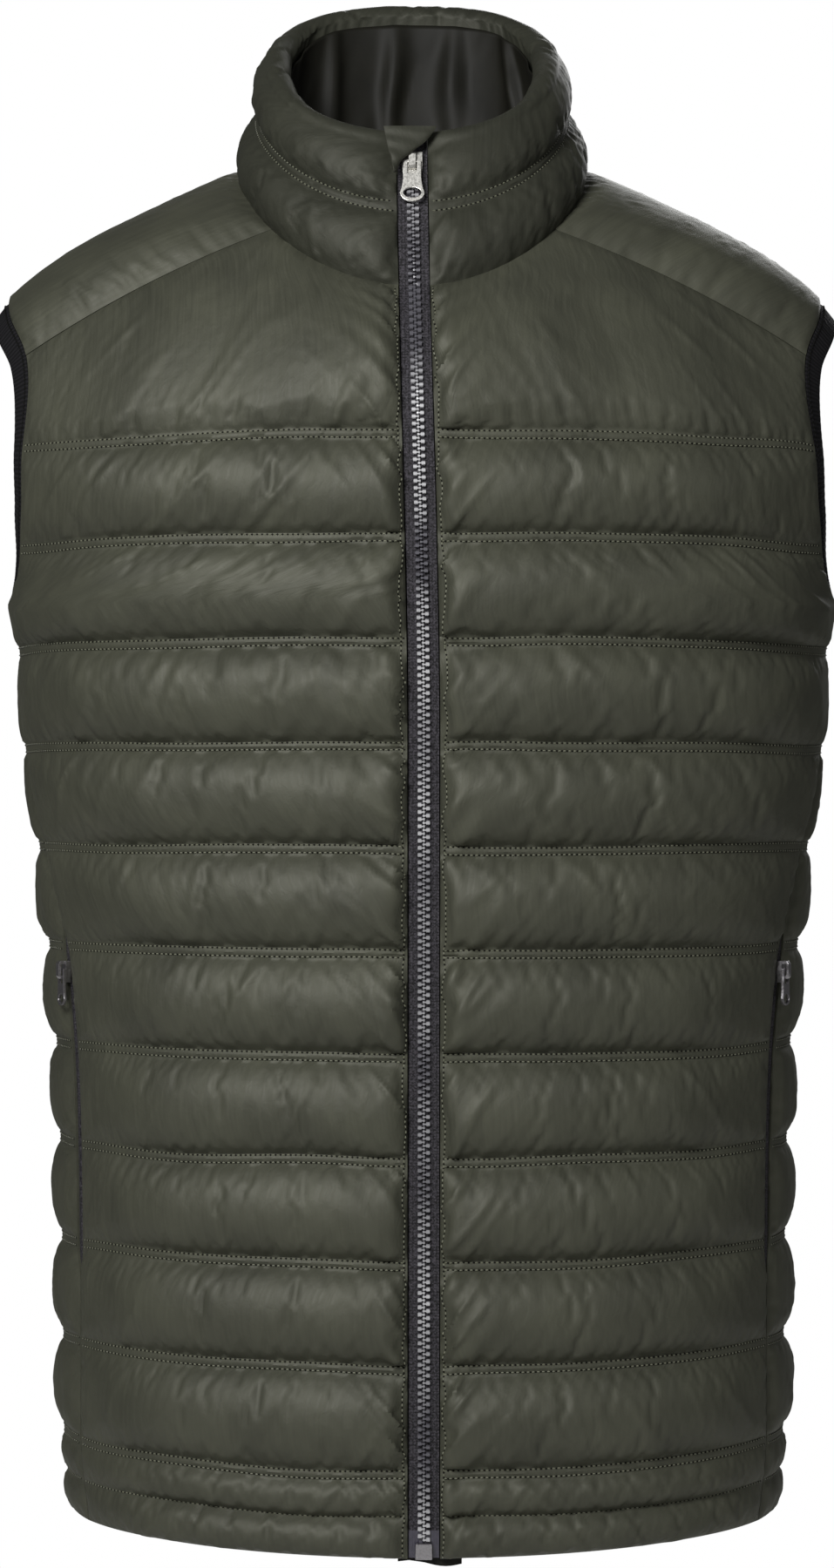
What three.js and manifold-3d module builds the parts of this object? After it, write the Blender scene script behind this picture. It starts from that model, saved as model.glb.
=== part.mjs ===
// A padded vest, filled out as it is when worn: two quilted fronts, a quilted back, a yoke that
// comes over both shoulders, a stand collar, bound armholes, a front zip and two side pocket zips.
// Millimetres. +Z is up, the front faces -Y and +X is the wearer's left.
// The origin lies between the shoulders, at the height where they carry the vest.

import * as THREE from 'three';
import { mergeVertices } from 'three/addons/utils/BufferGeometryUtils.js';
import Module from 'manifold-3d';

const wasm = await Module();
wasm.setup();

const { lerp, smoothstep, degToRad } = THREE.MathUtils;

// Cloth and seams
const WALL = 3; // quilted wall where it is stitched down
const SEAM = 0.3; // clear gap between two pieces that are sewn together
const NUDGE = 0.002; // step, in grid units, for measuring a surface's slope
// The vest stands a little to the wearer's left below the chest and to the right at the collar.
const LEAN = { low: -250, high: 80, shift_low: 3.4, shift_high: -2.6 };

// Quilting: eleven stitched lines, a drawn-in hem channel and the rolled hem edge
const LINE_TOP = -95.5;
const LINE_PITCH = 51.9;
const LINE_COUNT = 11;
const HEM_STITCH = -635.7;
const HEM_EDGE = -657;
const CHANNEL_RISE = 9;
const HEM_CHANNEL_RISE = 5;
const HEM_ROLL_RISE = 6;
const CHEST_RISE = 9;
const CHANNEL_STEPS = [0, 0.16, 0.5, 0.84];
const HEM_STEPS = [0, 0.5];
const CHEST_STEPS = [0, 0.1, 0.3, 0.55, 0.8, 0.93, 1];
const ZIP_TAPER = 26; // the padding thins over this distance to the zip
const SEAM_TAPER = 16; // and over this one to any other edge

// Horizontal sections of the body at its stitched lines. From the underarm up only the part that
// borders the armholes is cloth, so half_width there sets where the armhole edges stand.
const BOXINESS = 0.015;
const SIDE_DRAW = 0.024; // padding draws the sides up and down towards the middle by this share
const DRAW_MIDDLE = -270;
const TORSO = [
  { z: -657, half_width: 183, front: 121, back: 112 },
  { z: -617, half_width: 187.5, front: 124, back: 114 },
  { z: -567, half_width: 188, front: 125, back: 113 },
  { z: -465, half_width: 189.5, front: 124, back: 108 },
  { z: -409, half_width: 191.5, front: 124, back: 105 },
  { z: -354, half_width: 195.5, front: 126, back: 105 },
  { z: -304, half_width: 200.5, front: 128, back: 108 },
  { z: -250, half_width: 208, front: 131, back: 113 },
  { z: -198, half_width: 211, front: 134, back: 118 },
  { z: -160, half_width: 217, front: 134, back: 121 },
  { z: -130, half_width: 226, front: 133, back: 122 },
  { z: -97, half_width: 230, front: 131, back: 122 },
  { z: -45, half_width: 217, front: 128, back: 120 },
  { z: -25, half_width: 216, front: 126, back: 118 },
  { z: -12, half_width: 212, front: 124, back: 116 },
];

// Armholes: a loop on the side of the body, as a height range and an angular reach
const ARM_BOTTOM = -175;
const ARM_TOP = -12;
const ARM_REACH = degToRad(30);
const ARM_ROWS = [0, 4, 11];
const ARM_MIDDLE = (ARM_BOTTOM + ARM_TOP) / 2;
const ARM_HALF = (ARM_TOP - ARM_BOTTOM) / 2;
const BINDING_WIDTH = 12.5;
const BINDING_THICK = 2.2;
const BINDING_CURL = 0.35; // how much the elastic turns in towards the arm

// Side seams come forward from the underarm to the pockets
const SIDE_SEAM = [
  { z: -657, angle: 69 },
  { z: -522, angle: 68 },
  { z: -354, angle: 69 },
  { z: -304, angle: 76 },
  { z: -250, angle: 83 },
  { z: -177, angle: 90 },
];
const POCKET_TOP = -351;
const POCKET_BOTTOM = -522;
const POCKET_GAP = 6.2;
const POCKET_BLEND = 9;
const POCKET_SLIDER_DROP = 3;

// Neck seam and collar rim: rings seen from above, angle 0 at the back
const NECK = { half_width: 88, middle_y: -12, half_depth: 80, z: 32.5, tilt: 39, dip: -11.5 };
const RIM = { half_width: 70, middle_y: 6, half_depth: 72, z: 110.5, tilt: 43, dip: -3.5 };
const RIM_BOXINESS = 0.045;
const COLLAR_WALL = 8;
const COLLAR_BULGE = 2;
const COLLAR_RISE = 6;
const FACING_WALL = 3;
const COLLAR_STEPS = [0, 0.08, 0.25, 0.42, 0.5, 0.58, 0.78, 0.94, 1];
const FACING_STEPS = [0, 0.5, 1];

// Yoke: front corner at the neck, lower end of its front seam, and its crown
const YOKE_NECK_ANGLE = degToRad(125);
const YOKE_SEAM_Z = -46;
const YOKE_BACK_SHARE = 0.45;
const YOKE_RISE = 6;
const YOKE_CROWN = [
  { share: 0, x: 0, y: 27, z: 38 },
  { share: 0.45, x: 10, y: 22, z: 30 },
  { share: 0.75, x: 16, y: 2, z: 4 },
  { share: 1, x: 4, y: -12, z: 6 },
];
const YOKE_OVER_STEPS = 11;

// Columns across a front, from the zip out; the yoke's corner falls on one of them
const CORNER_SHARE = 0.44;
const FRONT_COLUMNS = [0, 0.04, 0.12, 0.22, 0.33, CORNER_SHARE, 0.56, 0.68, 0.8, 0.9, 0.96, 1];
const BACK_COLUMNS = [0, 0.02, 0.05, 0.1, 0.16, 0.22, 0.29, 0.36, 0.43, 0.5];

// Front zip
const ZIP_HALF_GAP = 8; // from the middle of the chain to the folded edge of each front
const TAPE_THICK = 1;
const TAPE_DEPTH = 1.6; // tape face, below the edge of the fronts
const TAPE_SPLIT = 0.35;
const CHAIN_WIDTH = 6.2;
const CHAIN_THICK = 2.2;
const ZIP_STEP = 24;
const ZIP_TOP = 60;
const SLIDER_Z = 46;
const FLAP_DEPTH = 4.2;
const FLAP_THICK = 1.6;
const FLAP_RIGHT = -13;
const FLAP_LEFT = 19;
const FLAP_TOP = -75;
const FLAP_DROP = 3; // the inner flap shows this far below the hem
const BOX = { width: 8.4, height: 8, depth: 3.4 };

// Sliders and pulls
const FRONT_SLIDER = { width: 10.4, length: 17, back: 1.2, face: 1.2, reach: 6 };
const POCKET_SLIDER = { width: 5.6, length: 11, back: 0.6, face: 2.6, reach: 4.5 };
const BRIDGE = { half_length: 4.5, inner_half: 3, inner_rise: 2.2, top: 1.4, width: 3.6 };
const PIVOT_RISE = 1.1; // from a slider's face to the pivot of its pull
const FRONT_PULL = { length: 23.5, top: 9, end: 12.6, hole_x: 4.6, hole_y: 3 };
const POCKET_PULL = { length: 19, top: 7.4, end: 9, hole_x: 2.9, hole_y: 2.4 };
const PULL_THICK = 1.4;
const PULL_BAR = 1.4;
const PULL_SLOT = 6.3;
const PULL_SLOT_HALF = 2.4;
const PULL_HOLE_SIDES = 16;

const NYLON = { color: 0x50524a, roughness: 0.42, metalness: 0 };
const LINING = { color: 0x2b2c2c, roughness: 0.5, metalness: 0 };
const ELASTIC = { color: 0x1c1b1d, roughness: 0.8, metalness: 0 };
const TAPE = { color: 0x232225, roughness: 0.85, metalness: 0 };
const TEETH = { color: 0x2c2c31, roughness: 0.35, metalness: 0 };
const NICKEL = { color: 0xb9b8b2, roughness: 0.3, metalness: 1 };
const GUNMETAL = { color: 0x6b686a, roughness: 0.3, metalness: 1 };

const vec = (x, y, z) => new THREE.Vector3(x, y, z);
const lean = (z) => lerp(LEAN.shift_low, LEAN.shift_high, smoothstep(z, LEAN.low, LEAN.high));

// All columns of a table at a place between its rows, on a smooth curve through them.
function reading(rows, key, at) {
  let i = 0;
  while (i < rows.length - 2 && at > rows[i + 1][key]) i += 1;
  const [low, high] = [rows[i], rows[i + 1]];
  const [before, after] = [rows[Math.max(i - 1, 0)], rows[Math.min(i + 2, rows.length - 1)]];
  const span = high[key] - low[key];
  const s = (at - low[key]) / span;
  const found = {};
  for (const column of Object.keys(low)) {
    const slopeLow = ((high[column] - before[column]) / (high[key] - before[key])) * span;
    const slopeHigh = ((after[column] - low[column]) / (after[key] - low[key])) * span;
    const rise = high[column] - low[column];
    found[column] =
      low[column] +
      s * slopeLow +
      s * s * (3 * rise - 2 * slopeLow - slopeHigh) +
      s * s * s * (slopeLow + slopeHigh - 2 * rise);
  }
  return found;
}

// A point on the body's skin: height and angle round from the middle of the front.
function torso(z, angle) {
  const size = reading(TORSO, 'z', z);
  const depth = Math.cos(angle) > 0 ? size.front : size.back;
  const across = (Math.sin(angle) + BOXINESS * Math.sin(3 * angle)) / (1 - BOXINESS);
  const forward = (Math.cos(angle) - BOXINESS * Math.cos(3 * angle)) / (1 - BOXINESS);
  const draw = SIDE_DRAW * (Math.cos(angle) > 0 ? Math.sin(angle) ** 2 : 1);
  return vec(size.half_width * across, -depth * forward, lerp(z, DRAW_MIDDLE, draw));
}

// How far round the armhole reaches from the side at a height, as an angle.
function armReach(z) {
  const offset = Math.min(1, Math.abs(z - ARM_MIDDLE) / ARM_HALF);
  return ARM_REACH * Math.sqrt(1 - offset * offset);
}

function sideAngle(z) {
  return degToRad(reading(SIDE_SEAM, 'z', z).angle);
}

// Half of the angle that a pocket zip takes out of the side seam.
function pocketHalfAngle(z) {
  const size = reading(TORSO, 'z', z);
  const angle = sideAngle(z);
  const perRadian = Math.hypot(size.half_width * Math.cos(angle), size.front * Math.sin(angle));
  const above = smoothstep(z, POCKET_BOTTOM - POCKET_BLEND, POCKET_BOTTOM + POCKET_BLEND);
  const below = 1 - smoothstep(z, POCKET_TOP - POCKET_BLEND, POCKET_TOP + POCKET_BLEND);
  return (POCKET_GAP / 2 / perRadian) * above * below;
}

function ringPoint(ring, angle, boxiness) {
  const across = (Math.sin(angle) + boxiness * Math.sin(3 * angle)) / (1 - boxiness);
  const backward = (Math.cos(angle) - boxiness * Math.cos(3 * angle)) / (1 - boxiness);
  const height = ring.z + ring.tilt * Math.cos(angle) + ring.dip * Math.cos(2 * angle);
  return vec(ring.half_width * across, ring.middle_y + ring.half_depth * backward, height);
}

const neckPoint = (angle) => ringPoint(NECK, angle, 0);
const ZIP_NECK_ANGLE = Math.PI - Math.asin(ZIP_HALF_GAP / NECK.half_width);

// The collar's outer face: straight from the neck seam to the rim, and bowed out between them.
function collarPoint(angle, height) {
  const foot = neckPoint(angle);
  const point = foot.clone().lerp(ringPoint(RIM, angle, RIM_BOXINESS), height);
  const rimEdge = ringPoint(RIM, ZIP_NECK_ANGLE, RIM_BOXINESS).x;
  const towardsZip = Math.max(0, (Math.abs(angle) - Math.PI / 2) / (ZIP_NECK_ANGLE - Math.PI / 2));
  point.x += Math.sign(angle) * (ZIP_HALF_GAP - rimEdge) * height * towardsZip;
  const bow = COLLAR_BULGE * 4 * height * (1 - height);
  return point.add(vec(Math.sin(angle), Math.cos(angle), 0).multiplyScalar(bow));
}

// Depth of the middle of the front at any height, for the zip and the edges beside it.
function frontLine(z) {
  const neck = neckPoint(ZIP_NECK_ANGLE);
  if (z <= LINE_TOP) return torso(z, zipAngle(z)).y;
  if (z <= neck.z) {
    const start = torso(LINE_TOP, zipAngle(LINE_TOP)).y;
    return lerp(start, neck.y, ((z - LINE_TOP) / (neck.z - LINE_TOP)) ** 2);
  }
  const rim = ringPoint(RIM, ZIP_NECK_ANGLE, RIM_BOXINESS);
  return collarPoint(ZIP_NECK_ANGLE, (z - neck.z) / (rim.z - neck.z)).y;
}

// The angle at which a front's zip edge stands.
function zipAngle(z) {
  const perRadian = reading(TORSO, 'z', z).half_width * (1 + 3 * BOXINESS) / (1 - BOXINESS);
  return ZIP_HALF_GAP / perRadian;
}

// The yoke's outer border: share 0 at the middle of the back, 1 at the foot of its front seam.
function yokeBorder(share) {
  if (share <= YOKE_BACK_SHARE) {
    const reach = Math.PI / 2 + armReach(LINE_TOP);
    return torso(LINE_TOP, lerp(Math.PI, reach, share / YOKE_BACK_SHARE));
  }
  const turn = (z) => Math.acos((ARM_MIDDLE - z) / ARM_HALF);
  const whole = 2 * Math.PI - turn(YOKE_SEAM_Z) - turn(LINE_TOP);
  const at = turn(LINE_TOP) + (whole * (share - YOKE_BACK_SHARE)) / (1 - YOKE_BACK_SHARE);
  const z = ARM_MIDDLE - ARM_HALF * Math.cos(at);
  return torso(z, Math.PI / 2 + ARM_REACH * Math.sin(at));
}

// The yoke: place runs from -1 to 1 round the back of the neck, out from 0 at the neck to 1.
function yokePoint(place, out) {
  const share = Math.abs(place);
  const inner = neckPoint(share * YOKE_NECK_ANGLE);
  const outer = yokeBorder(share);
  const crown = reading(YOKE_CROWN, 'share', share);
  const control = inner.clone().lerp(outer, 0.5).add(vec(crown.x, crown.y, crown.z));
  const point = inner.multiplyScalar((1 - out) ** 2);
  point.addScaledVector(control, 2 * out * (1 - out)).addScaledVector(outer, out * out);
  point.x *= Math.sign(place) || 1;
  return point;
}

// The left front. share runs from the zip to the side. level 0 is the top stitched line, 1 the
// neck and yoke seam, and below 0 it counts the body's height in spans of the chest part.
const CHEST_SPAN = 80;

function frontPoint(share, level) {
  if (level <= 0) {
    const z = LINE_TOP + level * CHEST_SPAN;
    return torso(z, lerp(zipAngle(z), frontEdgeAngle(z), share));
  }
  const [near, far] = [zipAngle(LINE_TOP), frontEdgeAngle(LINE_TOP)];
  const start = torso(LINE_TOP, lerp(near, far, share));
  const end = chestTop(share);
  const zip = zipEdge(level);
  const arm = armEdge(level);
  const lower = torso(LINE_TOP, near).lerp(torso(LINE_TOP, far), share);
  const upper = chestTop(0).lerp(chestTop(1), share);
  return start
    .lerp(end, level)
    .add(zip.lerp(arm, share))
    .sub(lower.lerp(upper, level));
}

// The angle at which a front ends: the side seam, then the front of the armhole.
function frontEdgeAngle(z) {
  if (z > ARM_BOTTOM) return Math.PI / 2 - armReach(z);
  return sideAngle(z) - pocketHalfAngle(z);
}

function backEdgeAngle(z) {
  if (z > ARM_BOTTOM) return Math.PI / 2 + armReach(z);
  return sideAngle(z) + pocketHalfAngle(z);
}

// Top of a front: the neck seam as far as the yoke's corner, then the yoke's front seam.
function chestTop(share) {
  if (share > CORNER_SHARE) return yokePoint(1, (share - CORNER_SHARE) / (1 - CORNER_SHARE));
  return neckPoint(lerp(ZIP_NECK_ANGLE, YOKE_NECK_ANGLE, share / CORNER_SHARE));
}

function zipEdge(level) {
  const z = lerp(LINE_TOP, neckPoint(ZIP_NECK_ANGLE).z, level);
  return vec(ZIP_HALF_GAP, frontLine(z), z);
}

function armEdge(level) {
  const z = lerp(LINE_TOP, YOKE_SEAM_Z, level);
  return torso(z, frontEdgeAngle(z));
}

// The back: share 0 to 1 from one side, round the back, to the other.
function backPoint(share, level) {
  const z = LINE_TOP + level * CHEST_SPAN;
  const edge = backEdgeAngle(z);
  return torso(z, lerp(edge, 2 * Math.PI - edge, share));
}

function slopeNormal(surface, u, v, sense) {
  const du = surface(u + NUDGE, v).sub(surface(u - NUDGE, v));
  const dv = surface(u, v + NUDGE).sub(surface(u, v - NUDGE));
  return du.cross(dv).normalize().multiplyScalar(sense);
}

// Heights of the rows of a quilted panel, from the hem to the top line, with how far each rises.
function quiltRows() {
  const rows = [];
  for (const step of HEM_STEPS) {
    const rise = HEM_ROLL_RISE * (0.5 + step);
    rows.push({ z: lerp(HEM_EDGE, HEM_STITCH, step), rise });
  }
  const lowest = LINE_TOP - (LINE_COUNT - 1) * LINE_PITCH;
  for (const step of HEM_STEPS) {
    rows.push({ z: lerp(HEM_STITCH, lowest, step), rise: HEM_CHANNEL_RISE * fullness(step) });
  }
  for (let line = LINE_COUNT - 1; line > 0; line -= 1) {
    for (const step of CHANNEL_STEPS) {
      const z = LINE_TOP - (line - step) * LINE_PITCH;
      rows.push({ z, rise: CHANNEL_RISE * fullness(step) });
    }
  }
  rows.push({ z: LINE_TOP, rise: 0 });
  return rows.filter(({ z }) => Math.abs(z - ARM_BOTTOM) > 6).concat(armRows()).sort(
    (a, b) => a.z - b.z);
}

// More rows where the armhole's lower end turns round.
function armRows() {
  return ARM_ROWS.map((step) => {
    const z = ARM_BOTTOM + step;
    const place = (((z - LINE_TOP) / LINE_PITCH) % 1) + 1;
    return { z, rise: CHANNEL_RISE * fullness(place) };
  });
}

// Padding between two stitched lines, 0 at the lines and 1 half way.
function fullness(step) {
  return Math.sin(Math.PI * step) ** 0.75;
}

function taper(distance, reach) {
  return 1 - (1 - Math.min(1, distance / reach)) ** 2;
}

// Distance of each point of a row from the row's two ends.
function endDistances(row) {
  const along = [0];
  for (let j = 1; j < row.length; j += 1) along.push(along[j - 1] + row[j].distanceTo(row[j - 1]));
  const whole = along[along.length - 1];
  return along.map((d) => [d, whole - d]);
}

// Draws each border of a grid back from its seam by half of the gap.
function insetBorders(grid, distance) {
  const last = grid.length - 1;
  const end = grid[0].length - 1;
  const move = (point, towards) => {
    const step = towards.clone().sub(point).normalize().multiplyScalar(distance);
    return point.clone().add(step);
  };
  const moved = grid.map((row) => row.map((point) => point.clone()));
  for (let j = 0; j <= end; j += 1) {
    moved[0][j] = move(grid[0][j], grid[1][j]);
    moved[last][j] = move(grid[last][j], grid[last - 1][j]);
  }
  for (let i = 0; i <= last; i += 1) {
    moved[i][0] = move(moved[i][0], grid[i][1]);
    moved[i][end] = move(moved[i][end], grid[i][end - 1]);
  }
  return moved;
}

// A closed solid from loops of points: skins between them, and a strip across each end.
function loft(loops, closed) {
  const around = loops[0].length;
  const positions = loops.flat().flatMap((p) => [p.x + lean(p.z), p.y, p.z]);
  const faces = [];
  const quad = (a, b, c, d) => faces.push(a, b, c, a, c, d);
  const rings = closed ? loops.length : loops.length - 1;
  for (let i = 0; i < rings; i += 1) {
    const here = i * around;
    const next = ((i + 1) % loops.length) * around;
    for (let k = 0; k < around; k += 1) {
      const k2 = (k + 1) % around;
      quad(here + k, here + k2, next + k2, next + k);
    }
  }
  if (!closed) {
    const top = (loops.length - 1) * around;
    for (let k = 0; k < around / 2 - 1; k += 1) {
      const far = around - 1 - k;
      quad(k + 1, k, far, far - 1);
      quad(top + k, top + k + 1, top + far - 1, top + far);
    }
  }
  return outwardGeometry(positions, faces);
}

// Turns the faces round if they enclose a negative volume.
function outwardGeometry(positions, faces) {
  const at = (i) => vec(positions[3 * i], positions[3 * i + 1], positions[3 * i + 2]);
  let volume = 0;
  for (let f = 0; f < faces.length; f += 3) {
    volume += at(faces[f]).dot(at(faces[f + 1]).cross(at(faces[f + 2])));
  }
  const turned = volume > 0 ? faces : faces.slice().reverse();
  const geometry = new THREE.BufferGeometry();
  geometry.setAttribute('position', new THREE.Float32BufferAttribute(positions, 3));
  geometry.setIndex(turned);
  return geometry;
}

// A cloth wall: its outer face lifted by the padding, its inner face plain.
function clothWall(base, normals, rises, thickness) {
  return loft(
    base.map((row, i) => {
      const outer = row.map((p, j) => p.clone().addScaledVector(normals[i][j], rises[i][j]));
      const inner = row.map((p, j) => p.clone().addScaledVector(normals[i][j], -thickness));
      return [...outer, ...inner.reverse()];
    }),
    false,
  );
}

const mirrored = (grid) => grid.map((row) => row.map((p) => vec(-p.x, p.y, p.z)));

// The grids of a front: points, normals and how far the padding lifts each point.
function frontGrid() {
  const rows = quiltRows().map(({ z, rise }) => ({ level: (z - LINE_TOP) / CHEST_SPAN, rise }));
  for (const step of CHEST_STEPS.slice(1)) {
    rows.push({ level: step, rise: CHEST_RISE * fullness(step) });
  }
  const points = rows.map(({ level }) => FRONT_COLUMNS.map((share) => frontPoint(share, level)));
  const normals = rows.map(({ level }) =>
    FRONT_COLUMNS.map((share) => slopeNormal(frontPoint, share, level, 1)));
  const top = rows.length - 1;
  FRONT_COLUMNS.forEach((share, j) => {
    if (share >= CORNER_SHARE) normals[top][j] = yokeFrontNormal(share);
  });
  const rises = points.map((row, i) =>
    endDistances(row).map(([zip, side], j) => {
      const sideEase = 1 - 0.4 * smoothstep(FRONT_COLUMNS[j], 0.6, 1);
      return rows[i].rise * taper(zip, ZIP_TAPER) * taper(side, SEAM_TAPER) * sideEase;
    }));
  return { points, normals, rises, rows };
}

// The slope that a front and the yoke share along their seam, so that their edges lie parallel.
function yokeFrontNormal(share) {
  const out = (share - CORNER_SHARE) / (1 - CORNER_SHARE);
  const front = slopeNormal(frontPoint, share, 1 - NUDGE * 2, 1);
  return front.add(slopeNormal(yokePoint, 1 - NUDGE * 2, out, 1)).normalize();
}

function yokeBackNormal(place) {
  const angle = lerp(Math.PI, Math.PI / 2 + armReach(LINE_TOP), place / YOKE_BACK_SHARE);
  const outward = slopeNormal((u, v) => torso(LINE_TOP + v, angle + u), 0, 0, 1);
  return outward.add(slopeNormal(yokePoint, place, 1 - NUDGE * 2, 1)).normalize();
}

function backColumns() {
  return [...BACK_COLUMNS, ...BACK_COLUMNS.slice(0, -1).reverse().map((share) => 1 - share)];
}

function backGrid() {
  const rows = quiltRows().map(({ z, rise }) => ({ level: (z - LINE_TOP) / CHEST_SPAN, rise }));
  const columns = backColumns();
  const points = rows.map(({ level }) => columns.map((share) => backPoint(share, level)));
  const normals = rows.map(({ level }) =>
    columns.map((share) => slopeNormal(backPoint, share, level, 1)));
  const top = rows.length - 1;
  columns.forEach((share, j) => {
    const place = YOKE_BACK_SHARE * Math.abs(1 - 2 * share);
    const normal = yokeBackNormal(place);
    if (share > 0.5) normal.x *= -1;
    normals[top][j] = normal;
  });
  const rises = points.map((row, i) =>
    endDistances(row).map(([left, right], j) => {
      const sideEase = 0.5 + 0.5 * smoothstep(Math.min(columns[j], 1 - columns[j]), 0.05, 0.3);
      const edges = taper(left, SEAM_TAPER) * taper(right, SEAM_TAPER);
      return rows[i].rise * edges * sideEase;
    }));
  return { points, normals, rises, rows };
}

// Places of the yoke's columns: those of the back below it, then evenly over the shoulder.
function yokePlaces() {
  const half = BACK_COLUMNS.map((share) => YOKE_BACK_SHARE * (1 - 2 * share)).reverse();
  for (let step = 1; step <= YOKE_OVER_STEPS; step += 1) {
    half.push(lerp(YOKE_BACK_SHARE, 1, step / YOKE_OVER_STEPS));
  }
  return [...half.slice(1).reverse().map((place) => -place), ...half];
}

function yokeGrid() {
  const outs = FRONT_COLUMNS.filter((share) => share >= CORNER_SHARE);
  const steps = outs.map((share) => (share - CORNER_SHARE) / (1 - CORNER_SHARE));
  const places = yokePlaces();
  const points = steps.map((out) => places.map((place) => yokePoint(place, out)));
  const normals = steps.map((out) =>
    places.map((place) => {
      const normal = slopeNormal(yokePoint, Math.abs(place), out, 1);
      return vec(normal.x * (Math.sign(place) || 1), normal.y, normal.z);
    }));
  const border = steps.length - 1;
  places.forEach((place, j) => {
    if (Math.abs(place) > YOKE_BACK_SHARE) return;
    const normal = yokeBackNormal(Math.abs(place));
    if (place < 0) normal.x *= -1;
    normals[border][j] = normal;
  });
  steps.forEach((out, i) => {
    const left = yokeFrontNormal(outs[i]);
    normals[i][places.length - 1] = left;
    normals[i][0] = vec(-left.x, left.y, left.z);
  });
  const rises = points.map((row, i) =>
    endDistances(row).map(([right, left]) => {
      const ends = taper(right, SEAM_TAPER) * taper(left, SEAM_TAPER);
      return YOKE_RISE * fullness(steps[i]) * ends;
    }));
  return { points, normals, rises, places };
}

// Ring angles for the collar: the same points as the neck edges of the fronts and the yoke.
function collarAngles() {
  const front = FRONT_COLUMNS.filter((share) => share < CORNER_SHARE).map((share) =>
    lerp(ZIP_NECK_ANGLE, YOKE_NECK_ANGLE, share / CORNER_SHARE));
  const over = yokePlaces().map((place) => place * YOKE_NECK_ANGLE);
  return [...front.map((angle) => -angle), ...over, ...front.reverse()];
}

function collarGrid(steps) {
  const angles = collarAngles();
  const points = steps.map((height) => angles.map((angle) => collarPoint(angle, height)));
  const normals = steps.map((height) =>
    angles.map((angle) => slopeNormal(collarPoint, angle, height, 1)));
  const facesOut = normals[0][Math.floor(angles.length / 2)].y > 0 ? 1 : -1;
  normals.flat().forEach((normal) => normal.multiplyScalar(facesOut));
  return { points, normals };
}

// The collar's outer part: two padded tiers, stitched down half way.
function collarGeometry() {
  const { points, normals } = collarGrid(COLLAR_STEPS);
  const rises = points.map((row, i) => {
    const tier = COLLAR_STEPS[i] <= 0.5 ? COLLAR_STEPS[i] * 2 : COLLAR_STEPS[i] * 2 - 1;
    return endDistances(row).map(([right, left]) =>
      COLLAR_RISE * fullness(tier % 1) * taper(right, ZIP_TAPER) * taper(left, ZIP_TAPER));
  });
  return clothWall(insetBorders(points, SEAM), normals, rises, COLLAR_WALL);
}

// The collar's inner part, which shows above the front edge.
function facingGeometry() {
  const { points, normals } = collarGrid(FACING_STEPS);
  const depth = COLLAR_WALL + SEAM;
  const face = points.map((row, i) =>
    row.map((p, j) => p.clone().addScaledVector(normals[i][j], -depth)));
  const rises = face.map((row) => row.map(() => 0));
  return clothWall(face, normals, rises, FACING_WALL);
}

// The loop round the left armhole, from the panels' own edge points: point and slope of each.
function armLoop(front, back, yoke) {
  const onArm = (rows) => rows.map((row, i) => i).filter((i) => {
    const z = LINE_TOP + rows[i].level * CHEST_SPAN;
    return z >= ARM_BOTTOM - SEAM;
  });
  const lastFront = FRONT_COLUMNS.length - 1;
  const up = onArm(front.rows).map((i) => ({
    point: front.points[i][lastFront],
    normal: front.normals[i][lastFront],
  }));
  const border = yoke.points.length - 1;
  const over = yoke.places
    .map((place, j) => ({ place, point: yoke.points[border][j], normal: yoke.normals[border][j] }))
    .filter(({ place }) => place > YOKE_BACK_SHARE && place < 1)
    .reverse();
  const down = onArm(back.rows).slice(1).reverse().map((i) => ({
    point: back.points[i][0],
    normal: back.normals[i][0],
  }));
  return [...up, ...over, ...down];
}

// Elastic binding: a band that carries on from the edge of the cloth and curls in.
function bindingGeometry(loop, side) {
  const centre = vec(0, 0, ARM_MIDDLE);
  const bands = loop.map(({ point, normal }, i) => {
    const before = loop[(i + loop.length - 1) % loop.length].point;
    const after = loop[(i + 1) % loop.length].point;
    const across = after.clone().sub(before).cross(normal).normalize();
    const inward = centre.clone().setX(point.x).sub(point);
    if (across.dot(inward) < 0) across.negate();
    across.addScaledVector(normal, -BINDING_CURL).normalize();
    const corner = (width, depth) => point
      .clone()
      .addScaledVector(across, width)
      .addScaledVector(normal, -depth);
    const clear = 2 * SEAM;
    const turned = [
      corner(clear, 0),
      corner(BINDING_WIDTH, 0),
      corner(BINDING_WIDTH, BINDING_THICK),
      corner(clear, BINDING_THICK),
    ];
    return turned.map((p) => vec(p.x * side, p.y, p.z));
  });
  return loft(bands, true);
}

// A strip down the middle of the front between two distances from the zip's middle and two depths.
function zipStrip(low, high, right, left, face, thickness) {
  const heights = [low];
  for (let k = Math.ceil((low + 1) / ZIP_STEP); k * ZIP_STEP < high - 1; k += 1) {
    heights.push(k * ZIP_STEP);
  }
  heights.push(high);
  const loops = [];
  for (const z of heights) {
    const slope = (frontLine(z + 1) - frontLine(z - 1)) / 2;
    const normal = vec(0, -1, slope).normalize();
    const corner = (x, depth) => vec(x, frontLine(z), z).addScaledVector(normal, -depth);
    loops.push([
      corner(right, face),
      corner(left, face),
      corner(left, face + thickness),
      corner(right, face + thickness),
    ]);
  }
  return loft(loops, false);
}

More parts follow.
